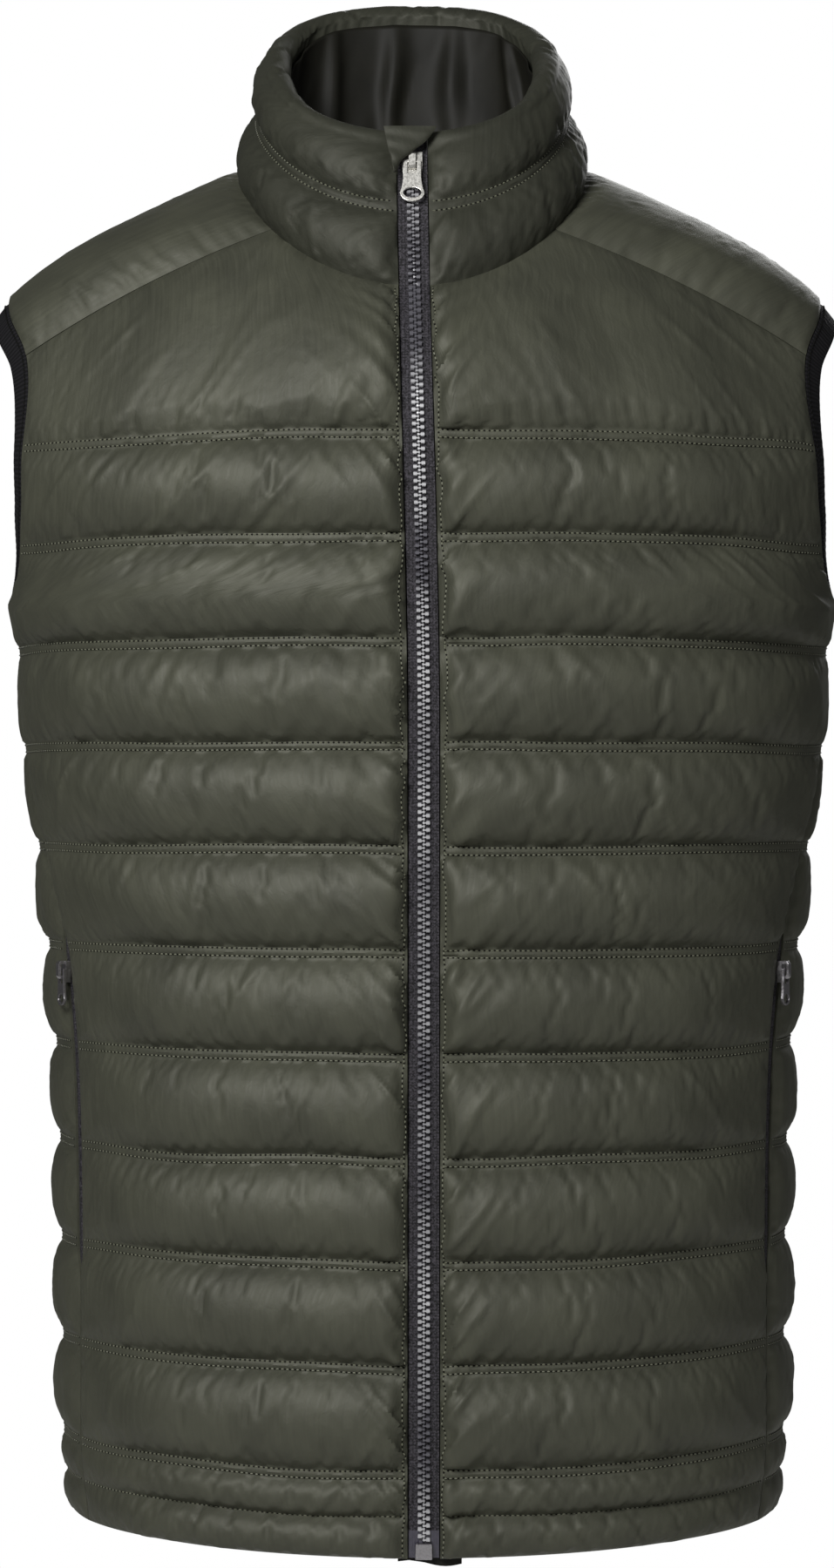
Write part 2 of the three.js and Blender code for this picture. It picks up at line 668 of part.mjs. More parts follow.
// The black strip of a pocket zip, in the gap of the side seam.
function pocketStrip(side) {
  const ease = POCKET_BLEND + 1;
  const rows = 14;
  const loops = [];
  for (let i = 0; i <= rows; i += 1) {
    const z = lerp(POCKET_BOTTOM + ease, POCKET_TOP - ease, i / rows);
    const edges = [frontEdgeAngle(z), backEdgeAngle(z)];
    const perRadian = torso(z, edges[0]).distanceTo(torso(z, edges[1])) / (edges[1] - edges[0]);
    const clear = SEAM / perRadian;
    const faces = [edges[0] + clear, edges[1] - clear].map((angle) => ({
      point: torso(z, angle),
      normal: slopeNormal((u, v) => torso(z + v, angle + u), 0, 0, 1),
    }));
    const corner = ({ point, normal }, depth) => {
      const p = point.clone().addScaledVector(normal, -depth);
      return vec(p.x * side, p.y, p.z);
    };
    loops.push([
      corner(faces[0], TAPE_THICK),
      corner(faces[1], TAPE_THICK),
      corner(faces[1], 2 * TAPE_THICK),
      corner(faces[0], 2 * TAPE_THICK),
    ]);
  }
  return loft(loops, false);
}

// A folded corner of cloth that covers the top end of the zip, standing off over the slider.
const GARAGE = [
  { z: 41, right: -12.5, left: -8.4, lift: 1.2 },
  { z: 47, right: -12.5, left: -5.6, lift: 3.2 },
  { z: 52, right: -13, left: 0.5, lift: 4.6 },
  { z: 58, right: -13.5, left: 7.5, lift: 5.8 },
  { z: 64, right: -14, left: 12, lift: 6.4 },
];
const GARAGE_THICK = 1.6;
const GARAGE_FOOT = 6.8; // height of its sewn edge, clear of the collar's upper tier

function garageGeometry() {
  const columns = 5;
  const loops = GARAGE.map(({ z, right, left, lift }) => {
    const outer = [];
    const inner = [];
    for (let j = 0; j <= columns; j += 1) {
      const share = j / columns;
      const rise = lerp(GARAGE_FOOT, Math.max(lift, 5.4), share);
      const point = vec(lerp(right, left, share), frontLine(z) - rise, z);
      inner.push(point);
      outer.push(point.clone().add(vec(0, -GARAGE_THICK, 0)));
    }
    return [...outer, ...inner.reverse()];
  });
  return loft(loops, false);
}

// manifold-3d solids from three.js geometry and back, for joins.
function toSolid(geometry) {
  const bare = geometry.clone().deleteAttribute('normal').deleteAttribute('uv');
  const merged = mergeVertices(bare, 1e-4);
  return new wasm.Manifold(new wasm.Mesh({
    numProp: 3,
    vertProperties: new Float32Array(merged.attributes.position.array),
    triVerts: new Uint32Array(merged.index.array),
  }));
}

function toGeometry(solid) {
  const mesh = solid.getMesh();
  const geometry = new THREE.BufferGeometry();
  geometry.setAttribute('position', new THREE.BufferAttribute(mesh.vertProperties, 3));
  geometry.setIndex(new THREE.BufferAttribute(mesh.triVerts, 1));
  return geometry;
}

// A slider about the pivot of its pull: x across, y away from the wearer is negative, z up.
function sliderGeometry(size) {
  const { width, length, back, face, reach } = size;
  const outline = new THREE.Shape();
  outline.moveTo(-width / 2, reach);
  outline.lineTo(-width / 2, reach - length * 0.45);
  outline.lineTo(-width * 0.4, reach - length);
  outline.lineTo(width * 0.4, reach - length);
  outline.lineTo(width / 2, reach - length * 0.45);
  outline.lineTo(width / 2, reach);
  outline.closePath();
  const depth = face + back;
  const plate = new THREE.ExtrudeGeometry(outline, { depth, bevelEnabled: false });
  plate.rotateX(Math.PI / 2);
  plate.translate(0, PIVOT_RISE + depth, 0);
  const { half_length, inner_half, inner_rise, top, width: bridgeWidth } = BRIDGE;
  const arch = new THREE.Shape();
  const sink = 0.5;
  const crest = inner_rise + top;
  arch.moveTo(-half_length, -sink);
  arch.lineTo(-half_length, crest * 0.7);
  arch.lineTo(-half_length * 0.7, crest);
  arch.lineTo(half_length * 0.7, crest);
  arch.lineTo(half_length, crest * 0.7);
  arch.lineTo(half_length, -sink);
  arch.lineTo(inner_half, -sink);
  arch.lineTo(inner_half, inner_rise);
  arch.lineTo(-inner_half, inner_rise);
  arch.lineTo(-inner_half, -sink);
  arch.closePath();
  const bridge = new THREE.ExtrudeGeometry(arch, { depth: bridgeWidth, bevelEnabled: false });
  bridge.translate(0, 0, -bridgeWidth / 2);
  bridge.applyMatrix4(new THREE.Matrix4().makeBasis(vec(0, 0, 1), vec(0, -1, 0), vec(1, 0, 0)));
  bridge.translate(0, PIVOT_RISE, 0);
  return toGeometry(toSolid(plate).add(toSolid(bridge)));
}

// A pull tab hanging from its pivot: a bar and slot at the top, an oval hole at the round end.
function pullGeometry(size) {
  const { length, top, end, hole_x, hole_y } = size;
  const bottom = PULL_BAR / 2 - length;
  const round = end / 2;
  const slotEnd = -PULL_BAR / 2 - PULL_SLOT;
  const outline = new THREE.Shape();
  outline.moveTo(-top / 2, PULL_BAR / 2);
  outline.lineTo(-top / 2, slotEnd * 0.9);
  outline.quadraticCurveTo(-top / 2, bottom + round * 1.5, -round, bottom + round * 0.8);
  outline.quadraticCurveTo(-round * 0.9, bottom, 0, bottom);
  outline.quadraticCurveTo(round * 0.9, bottom, round, bottom + round * 0.8);
  outline.quadraticCurveTo(top / 2, bottom + round * 1.5, top / 2, slotEnd * 0.9);
  outline.lineTo(top / 2, PULL_BAR / 2);
  outline.closePath();
  const slot = new THREE.Path();
  slot.moveTo(-PULL_SLOT_HALF, -PULL_BAR / 2);
  slot.lineTo(PULL_SLOT_HALF, -PULL_BAR / 2);
  slot.lineTo(PULL_SLOT_HALF, slotEnd);
  slot.lineTo(-PULL_SLOT_HALF, slotEnd);
  slot.closePath();
  const ring = [];
  for (let i = 0; i < PULL_HOLE_SIDES; i += 1) {
    const turn = (-2 * Math.PI * i) / PULL_HOLE_SIDES;
    const centre = bottom + round * 0.78;
    ring.push(new THREE.Vector2(hole_x * Math.cos(turn), centre + hole_y * Math.sin(turn)));
  }
  outline.holes.push(slot, new THREE.Path(ring));
  const settings = { depth: PULL_THICK, bevelEnabled: false, curveSegments: 5 };
  const tab = new THREE.ExtrudeGeometry(outline, settings);
  tab.translate(0, 0, -PULL_THICK / 2);
  tab.rotateX(Math.PI / 2);
  return mergeVertices(tab.deleteAttribute('normal').deleteAttribute('uv'), 1e-4);
}

const vest = new THREE.Group();

function addPiece(name, geometry, finish, parent = vest) {
  const mesh = new THREE.Mesh(geometry, new THREE.MeshStandardMaterial(finish));
  mesh.name = name;
  parent.add(mesh);
  return mesh;
}

// A group at a slider's pivot, turned so that its -y points straight out from the cloth.
function pivotGroup(point, outward, up) {
  const group = new THREE.Group();
  const back = outward.clone().negate();
  const across = back.clone().cross(up).normalize();
  const rise = across.clone().cross(back).normalize();
  group.quaternion.setFromRotationMatrix(new THREE.Matrix4().makeBasis(across, back, rise));
  group.position.copy(point).setX(point.x + lean(point.z));
  vest.add(group);
  return group;
}

// Cloth
const front = frontGrid();
const back = backGrid();
const yoke = yokeGrid();
const frontPoints = insetBorders(front.points, SEAM / 2);
addPiece('front_left', clothWall(frontPoints, front.normals, front.rises, WALL), NYLON);
const rightPoints = mirrored(frontPoints);
const rightNormals = mirrored(front.normals);
addPiece('front_right', clothWall(rightPoints, rightNormals, front.rises, WALL), NYLON);
const backPoints = insetBorders(back.points, SEAM / 2);
addPiece('back', clothWall(backPoints, back.normals, back.rises, WALL), NYLON);
const yokePoints = insetBorders(yoke.points, SEAM / 2);
addPiece('yoke', clothWall(yokePoints, yoke.normals, yoke.rises, WALL), NYLON);
addPiece('collar', collarGeometry(), NYLON);
addPiece('collar_facing', facingGeometry(), LINING);
const loop = armLoop(front, back, yoke);
addPiece('binding_left', bindingGeometry(loop, 1), ELASTIC);
addPiece('binding_right', bindingGeometry(loop, -1), ELASTIC);

// Front zip
const tapeEdge = ZIP_HALF_GAP - SEAM;
const boxTop = HEM_EDGE + BOX.height;
const chainTop = SLIDER_Z + FRONT_SLIDER.reach - FRONT_SLIDER.length - SEAM;
const chainFace = TAPE_DEPTH - SEAM - CHAIN_THICK;
const chain = CHAIN_WIDTH / 2;
addPiece(
  'zip_tape_left',
  zipStrip(HEM_EDGE, ZIP_TOP, TAPE_SPLIT / 2, tapeEdge, TAPE_DEPTH, TAPE_THICK),
  TAPE,
);
addPiece(
  'zip_tape_right',
  zipStrip(HEM_EDGE, ZIP_TOP, -tapeEdge, -TAPE_SPLIT / 2, TAPE_DEPTH, TAPE_THICK),
  TAPE,
);
addPiece(
  'zip_chain',
  zipStrip(boxTop + SEAM, chainTop, -chain, chain, chainFace, CHAIN_THICK),
  TEETH,
);
addPiece(
  'zip_box',
  zipStrip(HEM_EDGE, boxTop, -BOX.width / 2, BOX.width / 2, TAPE_DEPTH - SEAM - BOX.depth, BOX.depth),
  NICKEL,
);
addPiece(
  'inner_flap',
  zipStrip(HEM_EDGE - FLAP_DROP, FLAP_TOP, FLAP_RIGHT, FLAP_LEFT, FLAP_DEPTH, FLAP_THICK),
  ELASTIC,
);
addPiece('zip_garage', garageGeometry(), NYLON);

const zipSlope = (frontLine(SLIDER_Z + 1) - frontLine(SLIDER_Z - 1)) / 2;
const zipOutward = vec(0, -1, zipSlope).normalize();
const faceLift = FRONT_SLIDER.face + FRONT_SLIDER.back - TAPE_DEPTH + SEAM;
const zipPivot = vec(0, frontLine(SLIDER_Z), SLIDER_Z).addScaledVector(zipOutward, faceLift + PIVOT_RISE);
const zipGroup = pivotGroup(zipPivot, zipOutward, vec(0, 0, 1));
addPiece('zip_slider', sliderGeometry(FRONT_SLIDER), NICKEL, zipGroup);
addPiece('zip_pull', pullGeometry(FRONT_PULL), NICKEL, zipGroup);

// Pocket zips
for (const [name, side] of [['left', 1], ['right', -1]]) {
  addPiece(`pocket_zip_${name}`, pocketStrip(side), TAPE);
  const z = POCKET_TOP - POCKET_BLEND - POCKET_SLIDER.reach - POCKET_SLIDER_DROP;
  const angle = sideAngle(z);
  const point = torso(z, angle);
  const outward = slopeNormal((u, v) => torso(z + v, angle + u), 0, 0, 1).setZ(0).normalize();
  const lift = POCKET_SLIDER.face + POCKET_SLIDER.back - TAPE_THICK + 2 * SEAM + PIVOT_RISE;
  point.addScaledVector(outward, lift);
  const group = pivotGroup(
    vec(point.x * side, point.y, point.z),
    vec(outward.x * side, outward.y, outward.z),
    vec(0, 0, 1),
  );
  addPiece(`pocket_slider_${name}`, sliderGeometry(POCKET_SLIDER), GUNMETAL, group);
  addPiece(`pocket_pull_${name}`, pullGeometry(POCKET_PULL), GUNMETAL, group);
}

export default vest;
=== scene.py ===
"""A quilted puffer vest with a stand-up collar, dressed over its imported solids.

The panels' forms are worked out in millimetres, with +x the wearer's left, the front facing -y and
+z up. to_metres adds the small sideways lean of the front and turns them to metres.
"""

import math

import bpy
import numpy as np
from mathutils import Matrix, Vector


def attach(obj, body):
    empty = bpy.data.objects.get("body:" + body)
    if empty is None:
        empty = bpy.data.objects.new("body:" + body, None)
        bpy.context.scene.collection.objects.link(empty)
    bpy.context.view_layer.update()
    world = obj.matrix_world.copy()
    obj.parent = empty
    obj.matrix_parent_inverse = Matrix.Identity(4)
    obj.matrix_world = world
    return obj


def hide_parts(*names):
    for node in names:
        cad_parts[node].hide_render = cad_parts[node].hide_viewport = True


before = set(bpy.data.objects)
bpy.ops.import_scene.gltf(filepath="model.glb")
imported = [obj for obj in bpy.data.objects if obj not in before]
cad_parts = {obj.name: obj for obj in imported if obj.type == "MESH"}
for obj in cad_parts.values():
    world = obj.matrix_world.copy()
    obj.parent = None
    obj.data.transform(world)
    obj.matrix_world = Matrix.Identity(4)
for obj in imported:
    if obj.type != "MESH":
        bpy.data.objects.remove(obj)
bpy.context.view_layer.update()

# Forms of the body, the same as in the part's source. Tables give a key and the values at it.
LEAN_LOW, LEAN_HIGH, LEAN_BELOW, LEAN_ABOVE = -250, 80, 3.4, -2.6
LINE_TOP = -95.5
LINE_PITCH = 51.9
LINE_COUNT = 11
LINE_LOWEST = LINE_TOP - (LINE_COUNT - 1) * LINE_PITCH
HEM_STITCH = -635.7
HEM_EDGE = -657
CHEST_SPAN = 80
BOXINESS = 0.015
SIDE_DRAW = 0.024
DRAW_MIDDLE = -270
TORSO = np.array([  # height, half width, depth in front, depth behind
    (-657, 183, 121, 112),
    (-617, 187.5, 124, 114),
    (-567, 188, 125, 113),
    (-465, 189.5, 124, 108),
    (-409, 191.5, 124, 105),
    (-354, 195.5, 126, 105),
    (-304, 200.5, 128, 108),
    (-250, 208, 131, 113),
    (-198, 211, 134, 118),
    (-160, 217, 134, 121),
    (-130, 226, 133, 122),
    (-97, 230, 131, 122),
    (-45, 217, 128, 120),
    (-25, 216, 126, 118),
    (-12, 212, 124, 116),
], float)
ARM_BOTTOM = -175
ARM_TOP = -12
ARM_REACH = math.radians(30)
ARM_MIDDLE = (ARM_BOTTOM + ARM_TOP) / 2
ARM_HALF = (ARM_TOP - ARM_BOTTOM) / 2
SIDE_SEAM = np.array([  # height, angle of the seam in degrees
    (-657, 69), (-522, 68), (-354, 69), (-304, 76), (-250, 83), (-177, 90),
], float)
POCKET_TOP = -351
POCKET_BOTTOM = -522
POCKET_GAP = 6.2
POCKET_BLEND = 9
NECK = dict(half_width=88, middle_y=-12, half_depth=80, z=32.5, tilt=39, dip=-11.5)
RIM = dict(half_width=70, middle_y=6, half_depth=72, z=110.5, tilt=43, dip=-3.5)
RIM_BOXINESS = 0.045
COLLAR_BULGE = 2
COLLAR_WALL = 8
YOKE_NECK_ANGLE = math.radians(125)
YOKE_SEAM_Z = -46
YOKE_BACK_SHARE = 0.45
YOKE_CROWN = np.array([  # place, and how far the middle of the panel swells in x, y and z
    (0, 0, 27, 38), (0.45, 10, 22, 30), (0.75, 16, 2, 4), (1, 4, -12, 6),
], float)
CORNER_SHARE = 0.44
ZIP_HALF_GAP = 8
ZIP_TOP = 60
NUDGE = 0.002


def lerp(a, b, t):
    """The value a share t of the way from a to b."""
    return a + (b - a) * t


def smoothstep(x, low, high):
    """0 below low, 1 above high, and between them three times the square of the share of the way
    less twice its cube."""
    t = np.clip((x - low) / (high - low), 0, 1)
    return t * t * (3 - 2 * t)


def reading(table, at):
    """Reads a table between its keys by cubic Hermite pieces whose slopes join neighbouring keys."""
    keys = table[:, 0]
    at = np.asarray(at, float)
    i = np.searchsorted(keys[1:-1], at, side="left")
    low, high = table[i], table[i + 1]
    before = table[np.maximum(i - 1, 0)]
    after = table[np.minimum(i + 2, len(keys) - 1)]
    span = (high - low)[..., :1]
    s = (at[..., None] - low[..., :1]) / span
    slope_low = (high - before) / (high - before)[..., :1] * span
    slope_high = (after - low) / (after - low)[..., :1] * span
    rise = high - low
    out = low + s * slope_low + s**2 * (3 * rise - 2 * slope_low - slope_high)
    out = out + s**3 * (slope_low + slope_high - 2 * rise)
    return np.moveaxis(out[..., 1:], -1, 0)


def torso(z, angle):
    """The body's wall: at each height an oval of half width across and other depths before and
    behind, a little boxy from a third harmonic, with its sides drawn towards the middle height."""
    z, angle = np.broadcast_arrays(np.asarray(z, float), np.asarray(angle, float))
    half_width, front, back = reading(TORSO, z)
    ahead = np.cos(angle) > 0
    across = (np.sin(angle) + BOXINESS * np.sin(3 * angle)) / (1 - BOXINESS)
    forward = (np.cos(angle) - BOXINESS * np.cos(3 * angle)) / (1 - BOXINESS)
    draw = SIDE_DRAW * np.where(ahead, np.sin(angle) ** 2, 1)
    depth = np.where(ahead, front, back)
    return np.stack([half_width * across, -depth * forward, lerp(z, DRAW_MIDDLE, draw)], -1)


def arm_reach(z):
    """Half the armhole's width as an angle: a circle's chord over the armhole's height."""
    offset = np.minimum(1, np.abs(z - ARM_MIDDLE) / ARM_HALF)
    return ARM_REACH * np.sqrt(1 - offset**2)


def side_angle(z):
    """Angle of the side seam at a height."""
    return np.radians(reading(SIDE_SEAM, z)[0])


def pocket_half_angle(z):
    """Half the pocket opening as an angle, eased in and out at its two ends."""
    half_width, front, _ = reading(TORSO, z)
    angle = side_angle(z)
    per_radian = np.hypot(half_width * np.cos(angle), front * np.sin(angle))
    above = smoothstep(z, POCKET_BOTTOM - POCKET_BLEND, POCKET_BOTTOM + POCKET_BLEND)
    below = 1 - smoothstep(z, POCKET_TOP - POCKET_BLEND, POCKET_TOP + POCKET_BLEND)
    return POCKET_GAP / 2 / per_radian * above * below


def ring_point(ring, angle, boxiness):
    """A tilted oval ring: its height changes with the cosines of the angle and of twice it."""
    across = (np.sin(angle) + boxiness * np.sin(3 * angle)) / (1 - boxiness)
    backward = (np.cos(angle) - boxiness * np.cos(3 * angle)) / (1 - boxiness)
    height = ring["z"] + ring["tilt"] * np.cos(angle) + ring["dip"] * np.cos(2 * angle)
    return np.stack(
        [ring["half_width"] * across, ring["middle_y"] + ring["half_depth"] * backward, height], -1)


def neck_point(angle):
    """The neck seam; angle 0 is the middle of the back."""
    return ring_point(NECK, np.asarray(angle, float), 0)


ZIP_NECK_ANGLE = math.pi - math.asin(ZIP_HALF_GAP / NECK["half_width"])


def collar_point(angle, height):
    """The collar between the neck seam and the rim, bowed outwards by a parabola of its height."""
    angle, height = np.broadcast_arrays(np.asarray(angle, float), np.asarray(height, float))
    foot = neck_point(angle)
    rim = ring_point(RIM, angle, RIM_BOXINESS)
    point = lerp(foot, rim, height[..., None])
    rim_edge = ring_point(RIM, ZIP_NECK_ANGLE, RIM_BOXINESS)[0]
    towards = np.maximum(0, (np.abs(angle) - math.pi / 2) / (ZIP_NECK_ANGLE - math.pi / 2))
    point[..., 0] += np.sign(angle) * (ZIP_HALF_GAP - rim_edge) * height * towards
    bow = COLLAR_BULGE * 4 * height * (1 - height)
    point[..., 0] += bow * np.sin(angle)
    point[..., 1] += bow * np.cos(angle)
    return point


def zip_angle(z):
    """Angle on the torso of the fronts' edges along the zip."""
    return ZIP_HALF_GAP / (reading(TORSO, z)[0] * (1 + 3 * BOXINESS) / (1 - BOXINESS))


def front_line(z):
    """How far forward the zip lies: on the torso, over the chest to the neck, then on the collar."""
    z = np.asarray(z, float)
    neck = neck_point(ZIP_NECK_ANGLE)
    rim = ring_point(RIM, ZIP_NECK_ANGLE, RIM_BOXINESS)
    low = np.minimum(z, LINE_TOP)
    body = torso(low, zip_angle(low))[..., 1]
    start = torso(LINE_TOP, zip_angle(LINE_TOP))[1]
    chest = lerp(start, neck[1], ((z - LINE_TOP) / (neck[2] - LINE_TOP)) ** 2)
    height = np.clip((z - neck[2]) / (rim[2] - neck[2]), 0, 1.2)
    collar = collar_point(ZIP_NECK_ANGLE, height)[..., 1]
    return np.where(z <= LINE_TOP, body, np.where(z <= neck[2], chest, collar))


def yoke_border(share):
    """The yoke's outer edge: along the back's top line, then up round the armhole."""
    share = np.asarray(share, float)
    reach = math.pi / 2 + arm_reach(LINE_TOP)
    behind = torso(LINE_TOP, lerp(math.pi, reach, np.minimum(share / YOKE_BACK_SHARE, 1)))
    turn_low = math.acos((ARM_MIDDLE - LINE_TOP) / ARM_HALF)
    turn_high = math.acos((ARM_MIDDLE - YOKE_SEAM_Z) / ARM_HALF)
    whole = 2 * math.pi - turn_high - turn_low
    at = turn_low + whole * (share - YOKE_BACK_SHARE) / (1 - YOKE_BACK_SHARE)
    arm = torso(ARM_MIDDLE - ARM_HALF * np.cos(at), math.pi / 2 + ARM_REACH * np.sin(at))
    return np.where((share <= YOKE_BACK_SHARE)[..., None], behind, arm)


def yoke_point(place, out):
    """The yoke: quadratic curves from the neck to its border over a crown, mirrored for place < 0."""
    place, out = np.broadcast_arrays(np.asarray(place, float), np.asarray(out, float))
    share = np.abs(place)
    inner = neck_point(share * YOKE_NECK_ANGLE)
    outer = yoke_border(share)
    crown = np.moveaxis(reading(YOKE_CROWN, share), 0, -1)
    control = (inner + outer) / 2 + crown
    t = out[..., None]
    point = inner * (1 - t) ** 2 + control * 2 * t * (1 - t) + outer * t**2
    point[..., 0] *= np.where(place < 0, -1, 1)
    return point


def front_edge_angle(z):
    """Angle of a front's outer edge: the side seam below the armhole, the armhole above."""
    seam = np.minimum(z, ARM_BOTTOM)
    lower = side_angle(seam) - pocket_half_angle(seam)
    return np.where(z > ARM_BOTTOM, math.pi / 2 - arm_reach(z), lower)


def back_edge_angle(z):
    """Angle of the back's edge on the left side."""
    seam = np.minimum(z, ARM_BOTTOM)
    lower = side_angle(seam) + pocket_half_angle(seam)
    return np.where(z > ARM_BOTTOM, math.pi / 2 + arm_reach(z), lower)


def chest_top(share):
    """A front's top edge: along the neck seam, then along the yoke's front edge."""
    share = np.asarray(share, float)
    over = yoke_point(1, np.clip((share - CORNER_SHARE) / (1 - CORNER_SHARE), 0, 1))
    neck = neck_point(lerp(ZIP_NECK_ANGLE, YOKE_NECK_ANGLE, share / CORNER_SHARE))
    return np.where((share > CORNER_SHARE)[..., None], over, neck)


def front_point(share, level):
    """The left front. Below level 0 it follows the torso; above, a patch that blends its four
    edges: the top line, the zip's edge, the armhole's edge and the top edge."""
    share, level = np.broadcast_arrays(np.asarray(share, float), np.asarray(level, float))
    low = LINE_TOP + np.minimum(level, 0) * CHEST_SPAN
    body = torso(low, lerp(zip_angle(low), front_edge_angle(low), share))
    up = np.clip(level, 0, None)
    near, far = zip_angle(LINE_TOP), front_edge_angle(LINE_TOP)
    s, u = share[..., None], up[..., None]
    start = torso(LINE_TOP, lerp(near, far, share))
    zip_z = lerp(LINE_TOP, neck_point(ZIP_NECK_ANGLE)[2], up)
    zip_edge = np.stack([np.full_like(zip_z, ZIP_HALF_GAP), front_line(zip_z), zip_z], -1)
    arm_z = lerp(LINE_TOP, YOKE_SEAM_Z, up)
    arm_edge = torso(arm_z, front_edge_angle(arm_z))
    lower = lerp(torso(LINE_TOP, near), torso(LINE_TOP, far), s)
    upper = lerp(chest_top(0.0), chest_top(1.0), s)
    chest = lerp(start, chest_top(share), u) + lerp(zip_edge, arm_edge, s) - lerp(lower, upper, u)
    return np.where((level > 0)[..., None], chest, body)


def back_point(share, level):
    """The back: share 0 to 1 from the left side, round behind, to the right side."""
    share, level = np.broadcast_arrays(np.asarray(share, float), np.asarray(level, float))
    z = LINE_TOP + level * CHEST_SPAN
    edge = back_edge_angle(z)
    return torso(z, lerp(edge, 2 * math.pi - edge, share))


def slope_normal(surface, u, v):
    """Unit normal of a surface of two parameters, from its slopes over a small step."""
    along = surface(u + NUDGE, v) - surface(u - NUDGE, v)
    up = surface(u, v + NUDGE) - surface(u, v - NUDGE)
    normal = np.cross(along, up)
    return normal / np.linalg.norm(normal, axis=-1, keepdims=True)


def grid_normals(points):
    """Unit normals of a grid of points, from the differences between neighbours."""
    normal = np.cross(np.gradient(points, axis=1), np.gradient(points, axis=0))
    return normal / np.maximum(np.linalg.norm(normal, axis=-1, keepdims=True), 1e-9)


def to_metres(points):
    """Adds the lean, a smooth sideways shift with the height, and turns millimetres to metres."""
    out = np.array(points, float)
    share = smoothstep(out[..., 2], LEAN_LOW, LEAN_HIGH)
    out[..., 0] += lerp(LEAN_BELOW, LEAN_ABOVE, share)
    return out * 0.001


def mirrored(points):
    """The same points on the other side of the middle."""
    return points * np.array([-1.0, 1.0, 1.0])


def lengths_along(points, axis):
    """Distance of each point of a grid from the first one of its row or column, along the cloth."""
    steps = np.linalg.norm(np.diff(points, axis=axis), axis=-1)
    start = np.zeros_like(np.take(steps, [0], axis))
    return np.concatenate([start, np.cumsum(steps, axis)], axis)


def soft_noise(u, v, cell, rng):
    """Smooth noise from -1 to 1: random values on a square lattice of that cell, eased between."""
    column = np.asarray(u, float) / cell
    row = np.asarray(v, float) / cell
    column, row = column - column.min(), row - row.min()
    lattice = rng.uniform(-1, 1, (int(row.max()) + 2, int(column.max()) + 2))
    i, j = row.astype(int), column.astype(int)
    s, t = smoothstep(row - i, 0, 1), smoothstep(column - j, 0, 1)
    low = lerp(lattice[i, j], lattice[i, j + 1], t)
    high = lerp(lattice[i + 1, j], lattice[i + 1, j + 1], t)
    return lerp(low, high, s)


def refined(grid):
    """Twice as many steps along each axis. Each new point is nine sixteenths of the sum of its two
    near neighbours on the line less a sixteenth of the sum of the next two, so that a smooth
    surface stays smooth."""
    for axis in (0, 1):
        lines = np.moveaxis(grid, axis, 0)
        before = np.concatenate([2 * lines[:1] - lines[1:2], lines[:-2]])
        after = np.concatenate([lines[2:], 2 * lines[-1:] - lines[-2:-1]])
        middle = (9 * (lines[:-1] + lines[1:]) - before - after) / 16
        out = np.empty((2 * len(lines) - 1,) + lines.shape[1:])
        out[::2], out[1::2] = lines, middle
        grid = np.moveaxis(out, 0, axis)
    return grid


# Meshes

def grid_quads(rows, columns, closed_rows=False, closed_columns=False):
    """Quads between neighbours of a grid numbered row by row, joined round where it is closed."""
    index = np.arange(rows * columns).reshape(rows, columns)
    if closed_rows:
        index = np.vstack([index, index[:1]])
    if closed_columns:
        index = np.hstack([index, index[:, :1]])
    corners = [index[:-1, :-1], index[:-1, 1:], index[1:, 1:], index[1:, :-1]]
    return np.stack(corners, -1).reshape(-1, 4)


def border_loop(rows, columns, first):
    """Numbers of a grid's border points, once round with the outside on the right."""
    index = np.arange(rows * columns).reshape(rows, columns) + first
    sides = [index[0, :-1], index[:-1, -1], index[-1, :0:-1], index[:0:-1, 0]]
    return np.concatenate(sides)


def enclosed_volume(points, faces):
    """Signed volume inside triangles and quads, as a sum of tetrahedra to the origin."""
    total = 0.0
    for corners in faces:
        p = points[corners]
        for k in range(1, corners.shape[1] - 1):
            total += np.einsum("ij,ij->", p[:, 0], np.cross(p[:, k], p[:, k + 1])) / 6
    return total


def add_mesh(name, points, faces, finishes, finish_of_face=None, uv=None, smooth_angle=50):
    """A mesh object at the origin. points are metres; faces is a list of arrays of triangles or
    quads; uv is a flat coordinate in metres for each point."""
    mesh = bpy.data.meshes.new(name)
    corners = [face for group in faces for face in group.tolist()]
    mesh.from_pydata(points.tolist(), [], corners)
    mesh.update()
    for finish in finishes:
        mesh.materials.append(finish)
    if finish_of_face is not None:
        mesh.polygons.foreach_set("material_index", np.asarray(finish_of_face, np.int32))
    mesh.polygons.foreach_set("use_smooth", np.ones(len(mesh.polygons), bool))
    mesh.set_sharp_from_angle(angle=math.radians(smooth_angle))
    if uv is not None:
        loops = np.empty(len(mesh.loops), np.int32)
        mesh.loops.foreach_get("vertex_index", loops)
        layer = mesh.uv_layers.new(name="cloth")
        layer.data.foreach_set("uv", uv[loops].astype(np.float32).reshape(-1))
    piece = bpy.data.objects.new(name, mesh)
    bpy.context.scene.collection.objects.link(piece)
    return piece


def closed_mesh(name, points, faces, finishes, **more):
    """add_mesh for a closed surface, turned round first if it is inside out."""
    if enclosed_volume(points, faces) < 0:
        faces = [group[:, ::-1] for group in faces]
    return add_mesh(name, points, faces, finishes, **more)


